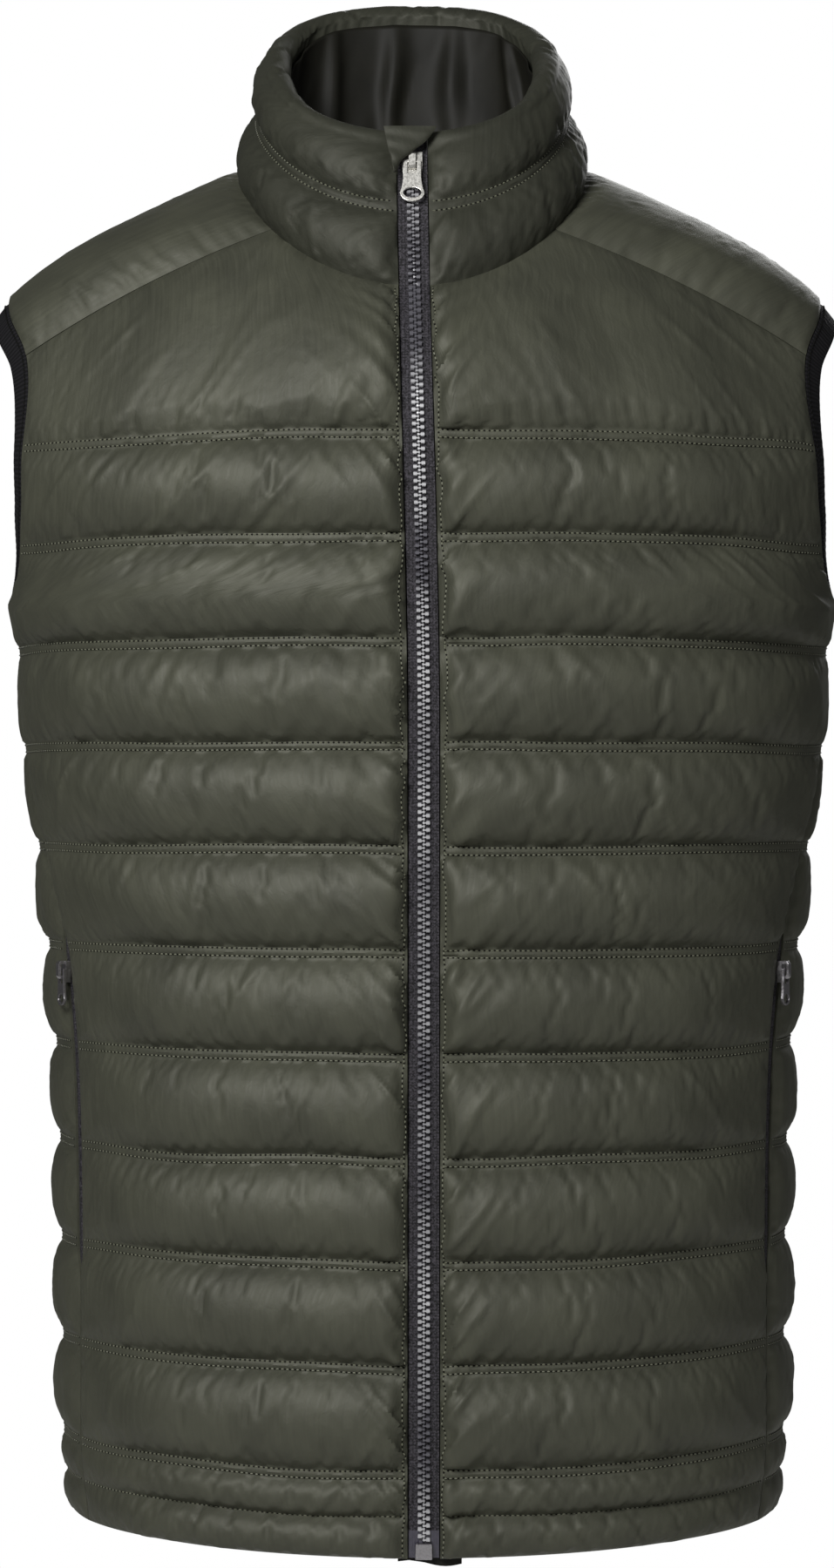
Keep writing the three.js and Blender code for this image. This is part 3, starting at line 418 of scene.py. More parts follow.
def padded_shell(name, outer, inner, finishes):
    """A closed padded wall: a fine outer grid, an inner grid with a quarter of its steps, and a
    rim of triangles that joins four steps of the outer border to one of the inner border."""
    rows, columns = outer.shape[:2]
    inner_rows, inner_columns = inner.shape[:2]
    count = rows * columns
    fine = border_loop(rows, columns, 0)
    coarse = border_loop(inner_rows, inner_columns, count)
    at = fine.reshape(-1, 4)
    nxt = np.roll(fine, -4).reshape(-1, 4)[:, 0]
    here, there = coarse, np.roll(coarse, -1)
    rim = np.concatenate([
        np.stack([at[:, 1], at[:, 0], here], -1),
        np.stack([at[:, 2], at[:, 1], here], -1),
        np.stack([at[:, 2], here, there], -1),
        np.stack([at[:, 3], at[:, 2], there], -1),
        np.stack([nxt, at[:, 3], there], -1),
    ])
    face_out = grid_quads(rows, columns)
    face_in = grid_quads(inner_rows, inner_columns)[:, ::-1] + count
    points = np.concatenate([outer.reshape(-1, 3), inner.reshape(-1, 3)])
    flat = np.stack([lengths_along(outer, 1), lengths_along(outer, 0)], -1)
    flat_in = flat[::4, ::4]
    uv = np.concatenate([flat.reshape(-1, 2), flat_in.reshape(-1, 2)]) * 0.001
    finish_of_face = np.concatenate([
        np.zeros(len(face_out)), np.ones(len(face_in)), np.zeros(len(rim)),
    ])
    return closed_mesh(
        name, to_metres(points), [face_out, face_in, rim], finishes,
        finish_of_face=finish_of_face, uv=uv)


def finish_piece(piece, body, nodes=()):
    """Rides the piece on its body and hides the CAD nodes it stands for."""
    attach(piece, body)
    if nodes:
        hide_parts(*nodes)
    return piece


# Materials

COLOUR = 2  # the output of a Mix node that holds its colour


def linear(hex_colour):
    """An sRGB hex colour as linear red, green, blue and 1."""
    channels = [int(hex_colour[i:i + 2], 16) / 255 for i in (1, 3, 5)]
    return [c / 12.92 if c <= 0.04045 else ((c + 0.055) / 1.055) ** 2.4 for c in channels] + [1.0]


def new_material(name):
    """An empty material that reads the nodes added to it."""
    material = bpy.data.materials.new(name)
    material.use_nodes = True
    return material


def add_node(material, kind, settings, links=None, out=0):
    """Adds a node and gives back one of its outputs. settings are its attributes or the values
    of its sockets, links are the outputs that feed its sockets."""
    node = material.node_tree.nodes.new(kind)
    for key, value in settings.items():
        if isinstance(key, int) or key in node.inputs:
            node.inputs[key].default_value = value
        else:
            setattr(node, key, value)
    for key, source in (links or {}).items():
        material.node_tree.links.new(source, node.inputs[key])
    return node.outputs[out]


def patterned(material, pattern, dark, light, relief, settings, links=None):
    """The material with its colour from dark to light by a pattern, these values on its
    principled shader and these outputs on its sockets. relief is the strength and the height
    in metres of the pattern's own relief, or None."""
    colour = add_node(
        material, "ShaderNodeMix", {"data_type": "RGBA", 6: linear(dark), 7: linear(light)},
        {0: pattern}, COLOUR)
    inputs = {"Base Color": colour, **(links or {})}
    if relief:
        inputs["Normal"] = add_node(
            material, "ShaderNodeBump", {"Strength": relief[0], "Distance": relief[1]},
            {"Height": pattern})
    shader = material.node_tree.nodes["Principled BSDF"]
    for key, value in settings.items():
        shader.inputs[key].default_value = value
    for key, source in inputs.items():
        material.node_tree.links.new(source, shader.inputs[key])
    return material


def shell_nylon(name, dark, light, gloss_level):
    """Olive nylon taffeta, calendered so that it shines in satin bands, with uneven yarns that
    run down the cloth and a fine crumple pressed in by the quilting."""
    cloth = new_material(name)
    place = add_node(cloth, "ShaderNodeUVMap", {"uv_map": "cloth"})
    # Yarns are 0.1 mm apart, too fine to show; slubs of 1.6 mm by 40 mm are what is seen.
    down_the_cloth = add_node(
        cloth, "ShaderNodeMapping", {"Scale": (620.0, 25.0, 1.0)}, {"Vector": place})
    slubs = add_node(
        cloth, "ShaderNodeTexNoise", {"Scale": 1.0, "Detail": 3.0, "Roughness": 0.6},
        {"Vector": down_the_cloth})
    blotches = add_node(
        cloth, "ShaderNodeTexNoise", {"Scale": 22.0, "Detail": 2.0, "Roughness": 0.5},
        {"Vector": place})
    tone = add_node(
        cloth, "ShaderNodeMath", {"operation": "MULTIPLY_ADD", 1: 0.7}, {0: slubs, 2: blotches})
    shade = add_node(
        cloth, "ShaderNodeMapRange", {"From Min": 0.55, "From Max": 1.15}, {"Value": tone})
    gloss = add_node(
        cloth, "ShaderNodeMapRange",
        {"From Min": 0.3, "From Max": 0.7, "To Min": 0.53, "To Max": 0.63}, {"Value": slubs})
    # Crumple of about 4 mm, and the slubs' own small relief.
    crumple = add_node(
        cloth, "ShaderNodeTexNoise",
        {"Scale": 160.0, "Detail": 3.0, "Roughness": 0.55, "Distortion": 0.6}, {"Vector": place})
    low_relief = add_node(
        cloth, "ShaderNodeBump", {"Strength": 0.35, "Distance": 0.0006}, {"Height": crumple})
    relief = add_node(
        cloth, "ShaderNodeBump", {"Strength": 0.4, "Distance": 0.00014},
        {"Height": slubs, "Normal": low_relief})
    return patterned(
        cloth, shade, dark, light, None,
        {"IOR": 1.53, "Specular IOR Level": gloss_level, "Specular Tint": linear("#f2f1e4"),
         "Sheen Weight": 0.05, "Sheen Tint": linear("#8e9180")},
        {"Roughness": gloss, "Normal": relief})


def lining_taffeta():
    """Black-grey polyester lining: a smooth plain weave with a dull shine."""
    cloth = new_material("polyester_lining_taffeta")
    place = add_node(cloth, "ShaderNodeTexCoord", {}, out="Object")
    shades = add_node(
        cloth, "ShaderNodeTexNoise", {"Scale": 60.0, "Detail": 4.0, "Roughness": 0.6},
        {"Vector": place})
    return patterned(
        cloth, shades, "#0e0e0a", "#1d1c15", (0.3, 0.0003),
        {"Roughness": 0.6, "IOR": 1.54, "Specular IOR Level": 0.2})


def knitted_elastic():
    """Black knitted elastic: matt ribs 1.2 mm apart across the binding."""
    elastic = new_material("knitted_elastic")
    place = add_node(elastic, "ShaderNodeUVMap", {"uv_map": "cloth"})
    ribs = add_node(
        elastic, "ShaderNodeTexWave",
        {"Scale": 130.0, "Distortion": 1.2, "Detail": 2.0, "bands_direction": "X"},
        {"Vector": place}, "Fac")
    return patterned(
        elastic, ribs, "#08080a", "#1c1b1e", (0.7, 0.0005),
        {"Roughness": 0.85, "Specular IOR Level": 0.25})


def woven_tape():
    """Black woven polyester zip tape: a matt herringbone with ribs 1 mm apart along it, and
    paler fluff on its yarns."""
    tape = new_material("woven_polyester_tape")
    place = add_node(tape, "ShaderNodeTexCoord", {}, out="Object")
    ribs, picks = [
        add_node(
            tape, "ShaderNodeTexWave",
            {"Scale": scale, "Distortion": 0.8, "Detail": 1.0, "bands_direction": direction},
            {"Vector": place}, "Fac")
        for scale, direction in ((160.0, "X"), (210.0, "Z"))]
    fluff = add_node(
        tape, "ShaderNodeTexNoise", {"Scale": 900.0, "Detail": 2.0, "Roughness": 0.8},
        {"Vector": place})
    pale = add_node(
        tape, "ShaderNodeMapRange", {"From Min": 0.42, "From Max": 0.66, "To Max": 0.8},
        {"Value": fluff})
    yarns = add_node(tape, "ShaderNodeMath", {"operation": "MULTIPLY"}, {0: ribs, 1: picks})
    weave = add_node(
        tape, "ShaderNodeMath", {"operation": "MULTIPLY_ADD", 1: 0.4}, {0: yarns, 2: pale})
    return patterned(
        tape, weave, "#0f0e10", "#4b484e", (0.5, 0.0003),
        {"Roughness": 0.8, "Specular IOR Level": 0.35})


def moulded_acetal():
    """Grey-black acetal, injection moulded: smooth teeth, painted paler than their own colour,
    and paler still on stretches along the zip, both as painted highlight."""
    acetal = new_material("moulded_acetal")
    place = add_node(acetal, "ShaderNodeTexCoord", {}, out="Object")
    wear = add_node(
        acetal, "ShaderNodeTexNoise", {"Scale": 300.0, "Detail": 2.0}, {"Vector": place})
    # Stretches along the zip painted paler: painted highlight.
    stretches = add_node(
        acetal, "ShaderNodeTexNoise", {"Scale": 16.0, "Detail": 1.0}, {"Vector": place})
    painted_highlight_stretches = add_node(
        acetal, "ShaderNodeMapRange", {"From Min": 0.4, "From Max": 0.62}, {"Value": stretches})
    gloss = add_node(
        acetal, "ShaderNodeMapRange",
        {"From Min": 0.3, "From Max": 0.7, "To Min": 0.24, "To Max": 0.4}, {"Value": wear})
    return patterned(
        acetal, painted_highlight_stretches, "#5b5a60", "#c2c2c4", None,
        {"IOR": 1.48, "Coat Weight": 0.6, "Coat Roughness": 0.12}, {"Roughness": gloss})


def die_cast_metal(name, light, dark, roughness):
    """Plated die-cast zinc: a bright grey metal with a fine cast grain."""
    metal = new_material(name)
    place = add_node(metal, "ShaderNodeTexCoord", {}, out="Object")
    grain = add_node(
        metal, "ShaderNodeTexNoise", {"Scale": 900.0, "Detail": 3.0, "Roughness": 0.6},
        {"Vector": place})
    gloss = add_node(
        metal, "ShaderNodeMapRange",
        {"From Min": 0.3, "From Max": 0.7, "To Min": roughness - 0.06, "To Max": roughness + 0.08},
        {"Value": grain})
    return patterned(
        metal, grain, dark, light, (0.25, 0.0001), {"Metallic": 1.0}, {"Roughness": gloss})


def mottled(name, scale, detail, dark, light, settings):
    """A plain finish whose only pattern is a soft noise between two tones."""
    material = new_material(name)
    place = add_node(material, "ShaderNodeTexCoord", {}, out="Object")
    noise = add_node(
        material, "ShaderNodeTexNoise", {"Scale": scale, "Detail": detail}, {"Vector": place})
    return patterned(material, noise, dark, light, None, settings)


NYLON = shell_nylon("calendered_nylon_taffeta", "#383930", "#494a3e", 0.5)
# A darker copy of the nylon for the collar and the zip's fold, with a weaker shine: its darker colour is
# painted shade.
NYLON_PAINTED_SHADE = shell_nylon("calendered_nylon_taffeta_painted_shade", "#2b2c25", "#383930", 0.35)
LINING = lining_taffeta()
ELASTIC = knitted_elastic()
TAPE = woven_tape()
# Clear stiffening film laminated on the tape's ends: smooth, and grey over the black weave.
FILM = mottled(
    "laminated_film", 400.0, 3.0, "#2c2a36", "#45424f",
    {"Roughness": 0.25, "Coat Weight": 0.6, "Coat Roughness": 0.2})
TEETH = moulded_acetal()
NICKEL = die_cast_metal("nickel_plated_zinc", "#f2f0ea", "#cfcdc6", 0.36)
GUNMETAL = die_cast_metal("gunmetal_plated_zinc", "#c9c6c9", "#8f8c90", 0.34)
# Polyester sewing thread in the shell's olive: a little paler than the cloth, and matt.
THREAD = mottled(
    "polyester_sewing_thread", 900.0, 2.0, "#54564a", "#85866f",
    {"Roughness": 0.6, "Sheen Weight": 0.3, "Sheen Roughness": 0.4})
# Dark dots between two stitches, where the needle went through: painted shade that darkens the stitched
# band.
NEEDLE_HOLE_SHADE = mottled(
    "needle_hole_painted_shade", 700.0, 2.0, "#070706", "#1b1b16",
    {"Roughness": 0.9, "Specular IOR Level": 0.1})


# Padding by cloth simulation

SIM_SCALE = 10  # the cloth solver is steadier on a mesh ten times as large
SIM_FRAMES = 16
SOFT_GOAL = 0.18  # how firmly free points are drawn to their place; the solver takes its power of 4


def swelled(points, held, looseness, pressure, frames=SIM_FRAMES):
    """Runs a cloth on an open grid in millimetres: points that are held stay, the rest is blown
    outwards, with more cloth than the shape needs, so that it puckers where it is held."""
    rows, columns = points.shape[:2]
    size = 0.001 * SIM_SCALE
    mesh = bpy.data.meshes.new("sim")
    mesh.from_pydata((points.reshape(-1, 3) * size).tolist(), [], grid_quads(rows, columns).tolist())
    cloth = bpy.data.objects.new("sim", mesh)
    bpy.context.scene.collection.objects.link(cloth)
    weights = cloth.vertex_groups.new(name="held")
    fixed = held.reshape(-1)
    weights.add(np.flatnonzero(fixed).tolist(), 1.0, "REPLACE")
    weights.add(np.flatnonzero(~fixed).tolist(), SOFT_GOAL, "REPLACE")
    solver = cloth.modifiers.new("cloth", "CLOTH")
    settings = solver.settings
    settings.quality = 5
    settings.mass = 0.3
    settings.air_damping = 2
    settings.tension_stiffness = 8
    settings.compression_stiffness = 8
    settings.shear_stiffness = 4
    settings.bending_stiffness = 0.4
    settings.vertex_group_mass = "held"
    settings.pin_stiffness = 1
    settings.use_pressure = True
    settings.uniform_pressure_force = pressure
    settings.shrink_min = -looseness
    settings.effector_weights.gravity = 0
    solver.collision_settings.use_collision = False
    solver.point_cache.frame_start = 1
    solver.point_cache.frame_end = frames
    for number in range(1, frames + 1):
        bpy.context.scene.frame_set(number)
    blown = cloth.evaluated_get(bpy.context.evaluated_depsgraph_get()).data
    moved = np.empty(rows * columns * 3, np.float32)
    blown.vertices.foreach_get("co", moved)
    moved = moved.astype(float).reshape(points.shape) / size
    bpy.data.objects.remove(cloth)
    bpy.data.meshes.remove(mesh)
    bpy.context.scene.frame_set(1)
    return moved


def capped(moved, base, normals, inward, outward, sideways):
    """Limits how far each point has gone from its base along the normal and along the cloth."""
    shift = moved - base
    lift = (shift * normals).sum(-1, keepdims=True)
    slide = shift - normals * lift
    length = np.maximum(np.linalg.norm(slide, axis=-1, keepdims=True), 1e-9)
    slide = slide * np.minimum(1, sideways / length)
    return base + normals * np.clip(lift, -inward, outward) + slide


BAND_HALF = 2.5  # half the distance between the two rows of a double-stitched line
BAND_SWELL = 0.8
CHANNEL_RISE = 9
CHANNEL_ROWS = 14
SAG = 3.3  # how far the padding of a channel hangs down over the line below it
HEM_CHANNEL_RISE = 4.5
HEM_CHANNEL_ROWS = 6
HEM_RISE = 7.5
HEM_TUCK = 1.5  # how far the hem's edge is drawn in
HEM_ROWS = 8
CHEST_RISE = 3.8
CHEST_FOOT = 0.04  # share of the chest over which its padding turns in to the top line
CHEST_BELLY = 5  # how strongly the chest's padding swells above its foot
CHEST_ROWS = 28
ZIP_TAPER = 9
SEAM_TAPER = 16


def fullness(step):
    """Padding between two stitched lines: a sine raised to a power that grows from 0.5 at the
    bottom to 0.8 at the top, so that its lower side is the steeper one."""
    return np.maximum(0, np.sin(np.pi * step)) ** lerp(0.5, 0.8, step)


def taper(distance, reach):
    """0 at an edge and 1 from reach on, as a parabola."""
    return 1 - (1 - np.minimum(1, distance / reach)) ** 2


def chest_fullness(step):
    """Padding of the plain chest: a quarter circle up from its stitched line, then a parabola
    that swells a little further and thins towards the collar."""
    foot = np.sqrt(1 - (1 - np.minimum(1, step / CHEST_FOOT)) ** 2)
    return foot * (1 - step) * (1 + CHEST_BELLY * step)


def quilt_rows(with_chest):
    """Rows of a quilted panel from the hem up, as arrays: level, rise, whether the row is held,
    and whether stitches lie on it."""
    z, rise, held, sewn = [], [], [], []

    def add(height, lift, is_held=False, is_sewn=False):
        z.append(height)
        rise.append(lift)
        held.append(is_held)
        sewn.append(is_sewn)

    def add_puff(low, high, steps, lift):
        for k in range(1, steps):
            t = k / steps
            sag = SAG * (1 - t) ** 1.5 * np.sin(np.pi * t) ** 0.6 * lift / CHANNEL_RISE
            add(lerp(low, high, t) - sag, lift * fullness(t))

    def add_line(centre):
        add(centre - BAND_HALF, 0, True, True)
        add(centre, BAND_SWELL, True)
        add(centre + BAND_HALF, 0, True, True)

    for k in range(HEM_ROWS):
        t = (k / HEM_ROWS) ** 1.4
        lift = HEM_RISE * fullness(t ** 0.6) - HEM_TUCK * (1 - t)
        add(lerp(HEM_EDGE, HEM_STITCH, t), lift, k == 0)
    add(HEM_STITCH, 0, True, True)
    add_puff(HEM_STITCH, LINE_LOWEST - BAND_HALF, HEM_CHANNEL_ROWS, HEM_CHANNEL_RISE)
    for line in range(LINE_COUNT - 1, 0, -1):
        centre = LINE_TOP - line * LINE_PITCH
        above = centre + LINE_PITCH
        top = above - (BAND_HALF if line > 1 or with_chest else 0)
        add_line(centre)
        add_puff(centre + BAND_HALF, top, CHANNEL_ROWS, CHANNEL_RISE)
    if with_chest:
        add_line(LINE_TOP)
    else:
        add(LINE_TOP, 0, True)
    level = (np.array(z) - LINE_TOP) / CHEST_SPAN
    rise, held, sewn = np.array(rise), np.array(held), np.array(sewn)
    if with_chest:
        # Rows lie closer together near the top line.
        steps = (np.arange(1, CHEST_ROWS + 1) / CHEST_ROWS) ** 1.45
        level = np.concatenate([level, lerp(level[-1], 1, steps)])
        rise = np.concatenate([rise, CHEST_RISE * chest_fullness(steps)])
        held = np.concatenate([held, steps == 1])
        sewn = np.concatenate([sewn, steps < 0])
    return level, rise, held, sewn


PUCKER_LIFT = 0.7
ZIP_FOLD_LIFT = 4.5
COLLAR_ZIP_FOLD_LIFT = 1.8
FOLD_LIFT = 0.55
CREASE_LIFT = 1.7  # wrinkles put in before the padding is blown up, so that it folds along them
FINE_LIFT = 0.08
LINE_WAVE = 1.3  # how far a stitched line wanders
WAVE_CALM = 40  # a line stops wandering this near a border


def ridges(noise, sharpness=3):
    """Noise turned into ridges where it crosses 0, narrower the sharper they are, about 0."""
    peaks = (1 - np.minimum(1, np.abs(noise) * 1.6)) ** sharpness
    return peaks - peaks.mean()


def slanted_noise(u, v, tilt, width, length, rng):
    """Noise stretched along lines that lean by tilt from upright."""
    across = u * math.cos(tilt) + v * math.sin(tilt)
    along = (v * math.cos(tilt) - u * math.sin(tilt)) * width / length
    return soft_noise(across, along, width, rng)


def creases(u, v, tilt, rng):
    """Long slanting folds of two widths, each in patches with smooth cloth between."""
    total = np.zeros_like(u)
    for lean_share, width, length, share in ((1, 22, 160, 1.0), (0.8, 12, 110, 0.6)):
        patches = smoothstep(soft_noise(u, v, 50, rng), -0.3, 0.6)
        noise = slanted_noise(u, v, tilt * lean_share, width, length, rng)
        total += share * ridges(noise) * patches
    return total


def fine_folds(u, v, tilt, rng):
    """Thin folds that lie along the long ones."""
    patches = smoothstep(soft_noise(u, v, 30, rng), -0.2, 0.7)
    return ridges(slanted_noise(u, v, tilt * 0.5, 7.5, 75, rng), 2) * patches


def puckers(u, v, to_line, to_zip, zip_lift, tilt, rng):
    """Short folds that start at the stitched lines, and longer ones that rise from the zip and
    lean the other way."""
    at_lines = ridges(slanted_noise(u, v, tilt * 0.7, 5.5, 40, rng), 2)
    patches = smoothstep(soft_noise(u, v * 0.4, 25, rng), -0.6, 0.4)
    lines = at_lines * patches * np.exp(-to_line / 7) * np.minimum(1, to_line / 2)
    at_zip = ridges(slanted_noise(u, v, tilt * -0.9, 7, 50, rng), 1.5)
    return PUCKER_LIFT * lines + zip_lift * at_zip * np.exp(-to_zip / 14)


def even_rows(grid):
    """True on every second row of a refined grid, which are the rows of the first one."""
    return np.arange(len(grid)) % 2 == 0


def nearest_row_distance(grid, marked):
    """Distance up or down the cloth of each point from the nearest marked row."""
    down = lengths_along(grid, 0)
    marks = np.flatnonzero(marked)
    after = np.clip(np.searchsorted(marks, np.arange(len(grid))), 0, len(marks) - 1)
    before = np.maximum(after - 1, 0)
    return np.minimum(np.abs(down - down[marks[after]]), np.abs(down - down[marks[before]]))


PLAY = 1.2  # how far the blown-up cloth may go from its computed form, along its normal
PLAY_SHARE = 0.1  # and how much more of the padding's rise outwards
SIDEWAYS_PLAY = 6
PANEL_WALL = 3
CALM_EDGE = 2.5  # folds fade this near a seam or a row of stitches


def quilted_panel(
        name, surface, rows, columns, ease, seed, tilt, looseness, pressure, zip_side=0,
        crease_share=1.0):
    """A padded panel: its grid on a surface of two parameters, lifted between its held rows and
    borders, wrinkled a little, blown up as cloth and refined. Returns the piece, its outer grid
    and that grid's normals."""
    level, rise, held_rows, _ = rows
    rng = np.random.default_rng(seed)
    share, high = np.meshgrid(columns, level)
    base = surface(share, high)
    u, v = lengths_along(base, 1), lengths_along(base, 0)
    to_ends = np.minimum(u, u[:, -1:] - u)
    inside = taper(to_ends, WAVE_CALM) * taper(np.minimum(v, v[-1:] - v), WAVE_CALM)
    wave = LINE_WAVE / CHEST_SPAN * soft_noise(u, v * 2.5, 70, rng) * inside
    base = surface(share, high + wave)
    normals = slope_normal(surface, share, high + wave)
    held = np.zeros(share.shape, bool)
    held[held_rows] = True
    held[[0, -1]] = True
    held[:, [0, -1]] = True
    if zip_side:
        held[:, 1 if zip_side > 0 else -2] = True
    lift = rise[:, None] * ease(share, u, u[:, -1:] - u)
    free = np.where(held, 0, 1)
    wrinkle = CREASE_LIFT * crease_share * creases(u, v, tilt, rng) * np.minimum(1, lift / 3)
    wrinkle += rng.normal(0, FINE_LIFT, share.shape)
    start = base + normals * (lift + wrinkle * free)[..., None]
    grown = swelled(start, held, looseness, pressure)
    grown = capped(
        grown, start, normals, PLAY, PLAY + PLAY_SHARE * lift[..., None], SIDEWAYS_PLAY)
    outer = refined(grown)
    to_line = nearest_row_distance(outer, np.repeat(held_rows, 2)[:-1] & even_rows(outer))
    flat = refined(base)
    u, v = lengths_along(flat, 1), lengths_along(flat, 0)
    to_zip = u if zip_side > 0 else u[:, -1:] - u
    to_zip = to_zip if zip_side else np.full_like(u, 1e3)
    fine = puckers(u, v, to_line, to_zip, ZIP_FOLD_LIFT, tilt, rng)
    fine += FOLD_LIFT * fine_folds(u, v, tilt, rng) * np.minimum(1, to_line / 6)
    fine *= crease_share
    edges = np.minimum(np.minimum(u, u[:, -1:] - u), np.minimum(v, v[-1:] - v))
    fine *= np.minimum(1, np.minimum(to_line, edges) / CALM_EDGE)
    outer = outer + grid_normals(outer) * fine[..., None]
    inner = (base - normals * PANEL_WALL)[::2, ::2]
    piece = padded_shell(name, outer, inner, [NYLON, LINING])
    return piece, outer, grid_normals(outer)


def front_ease(share, to_zip, to_side):
    """The padding thins towards the zip and the side, where it is also a little flatter."""
    side_ease = 1 - 0.82 * smoothstep(share, 0.55, 0.93)
    return taper(to_zip, ZIP_TAPER) * taper(to_side, SEAM_TAPER) * side_ease


def back_ease(share, to_left, to_right):
    """The back's padding thins towards its side seams and is flatter near them."""
    side_ease = 0.22 + 0.78 * smoothstep(np.minimum(share, 1 - share), 0.02, 0.22)
    return taper(to_left, SEAM_TAPER) * taper(to_right, SEAM_TAPER) * side_ease


def yoke_ease(share, to_right, to_left):
    """The yoke's padding thins towards its two front edges."""
    return taper(to_right, SEAM_TAPER) * taper(to_left, SEAM_TAPER)


SEAM_SHARE = 0.0008  # half of the gap between sewn pieces, as a share of a panel's width
HEM_SHARE = 0.0085  # width of the edge that is folded in along the zip, as such a share


def even_columns(steps):
    """Shares of a panel's width, just short of its edges at both ends."""
    return np.linspace(SEAM_SHARE, 1 - SEAM_SHARE, steps + 1)


def front_columns(steps):
    """Even columns after a narrow one along the zip, where the folded edge is stitched down."""
    return np.concatenate([[SEAM_SHARE], np.linspace(HEM_SHARE, 1 - SEAM_SHARE, steps)])


def mirrored_front_point(share, level):
    """The right front, from its side to the zip so that its faces look outwards."""
    return mirrored(front_point(1 - share, level))


def mirrored_front_ease(share, to_side, to_zip):
    """front_ease for the right front, whose share runs from its side to the zip."""
    return front_ease(1 - share, to_zip, to_side)


LOOSE = 0.02  # how much more cloth there is than the form needs
FULL = 2.5  # pressure of the padding
LESS_FULL = 2.0
FRONT_COLUMNS = 72
BACK_COLUMNS = 130
YOKE_COLUMNS = 150

front_rows = quilt_rows(True)
back_rows = quilt_rows(False)
left_front, left_grid, left_normals = quilted_panel(
    "quilted_front_left", front_point, front_rows, front_columns(FRONT_COLUMNS), front_ease, 11, 0.7,
    LOOSE, FULL, zip_side=1)
right_front, right_grid, right_normals = quilted_panel(
    "quilted_front_right", mirrored_front_point, front_rows, 1 - front_columns(FRONT_COLUMNS)[::-1],
    mirrored_front_ease, 12, -0.7, LOOSE, FULL, zip_side=-1)
back_panel, back_grid, back_normals = quilted_panel(
    "quilted_back", back_point, back_rows, even_columns(BACK_COLUMNS), back_ease, 13, 0.5,
    LOOSE, FULL)

YOKE_ROWS = 34
YOKE_RISE = 6
yoke_steps = np.linspace(0, 1, YOKE_ROWS + 1)


def yoke_surface(share, level):
    """The yoke, with share 0 to 1 from the right front over the back to the left front."""
    return yoke_point(share * 2 - 1, level)


yoke_rows = (
    yoke_steps, YOKE_RISE * fullness(yoke_steps), (yoke_steps == 0) | (yoke_steps == 1),
    np.zeros(YOKE_ROWS + 1, bool))
yoke_panel, yoke_grid, yoke_normals = quilted_panel(
    "padded_yoke", yoke_surface, yoke_rows, even_columns(YOKE_COLUMNS), yoke_ease, 14, 0.3,
    LOOSE, LESS_FULL, crease_share=0.4)

for piece, node in (
        (left_front, "front_left"), (right_front, "front_right"),
        (back_panel, "back"), (yoke_panel, "yoke")):
    finish_piece(piece, "vest", [node])


# Collar

COLLAR_COLUMNS = 168
COLLAR_RISE = 5
COLLAR_TALL = 80  # height of the collar in millimetres for one unit of its height
ROLL = 6.5  # radius of the rolled rim
COLLAR_TUCK = -0.012  # its lower edge lies inside the neck seam, as a share of its height
COLLAR_LINE = (12, 13, 14)  # rows of the double-stitched line between the two tiers
ROLL_ROW = 25  # the last row below the rolled rim
COLLAR_LEAN = 0.6
COLLAR_TAPER = 18
COLLAR_CREASES = 0.9
COLLAR_PLAY = (1.5, 2, 5)  # how far the cloth may go from its form: inwards, outwards, sideways


def collar_rows():
    """The collar's closed section from the neck seam up its outside, over the rolled rim and down
    its inside, as arrays: height, depth out of the collar's surface, and whether the row is held."""
    band = BAND_HALF / COLLAR_TALL
    roll_height = 1 - ROLL / COLLAR_TALL
    tier = np.arange(1, 12) / 12
    turn = np.linspace(0, math.pi, 9)
    upper = COLLAR_RISE * (1 - (1 - np.minimum(1, tier / 0.35)) ** 2)
    upper -= 2.5 * smoothstep(tier, 0.6, 1)
    low = lerp(COLLAR_TUCK, 0.5 - band, tier)
    high = lerp(0.5 + band, roll_height, tier)
    inside = np.linspace(roll_height - 0.02, 0.02, 9)
    height = np.concatenate([
        [COLLAR_TUCK], low, [0.5 - band, 0.5, 0.5 + band], high,
        roll_height + ROLL / COLLAR_TALL * np.sin(turn), inside])
    depth = np.concatenate([
        [0], COLLAR_RISE * fullness(tier), [0, BAND_SWELL, 0], upper,
        ROLL * (np.cos(turn) - 0.5), lerp(-ROLL * 1.3, -COLLAR_WALL, np.minimum(1, np.arange(9) / 3))])
    held = np.zeros(len(height), bool)
    held[[0, *COLLAR_LINE]] = True
    held[-8:] = True
    return height, depth, held


def collar_surface(share, height):
    """The collar's surface with share 0 to 1 from its left zip edge over the back to its right."""
    return collar_point(lerp(ZIP_NECK_ANGLE, -ZIP_NECK_ANGLE, share), height)


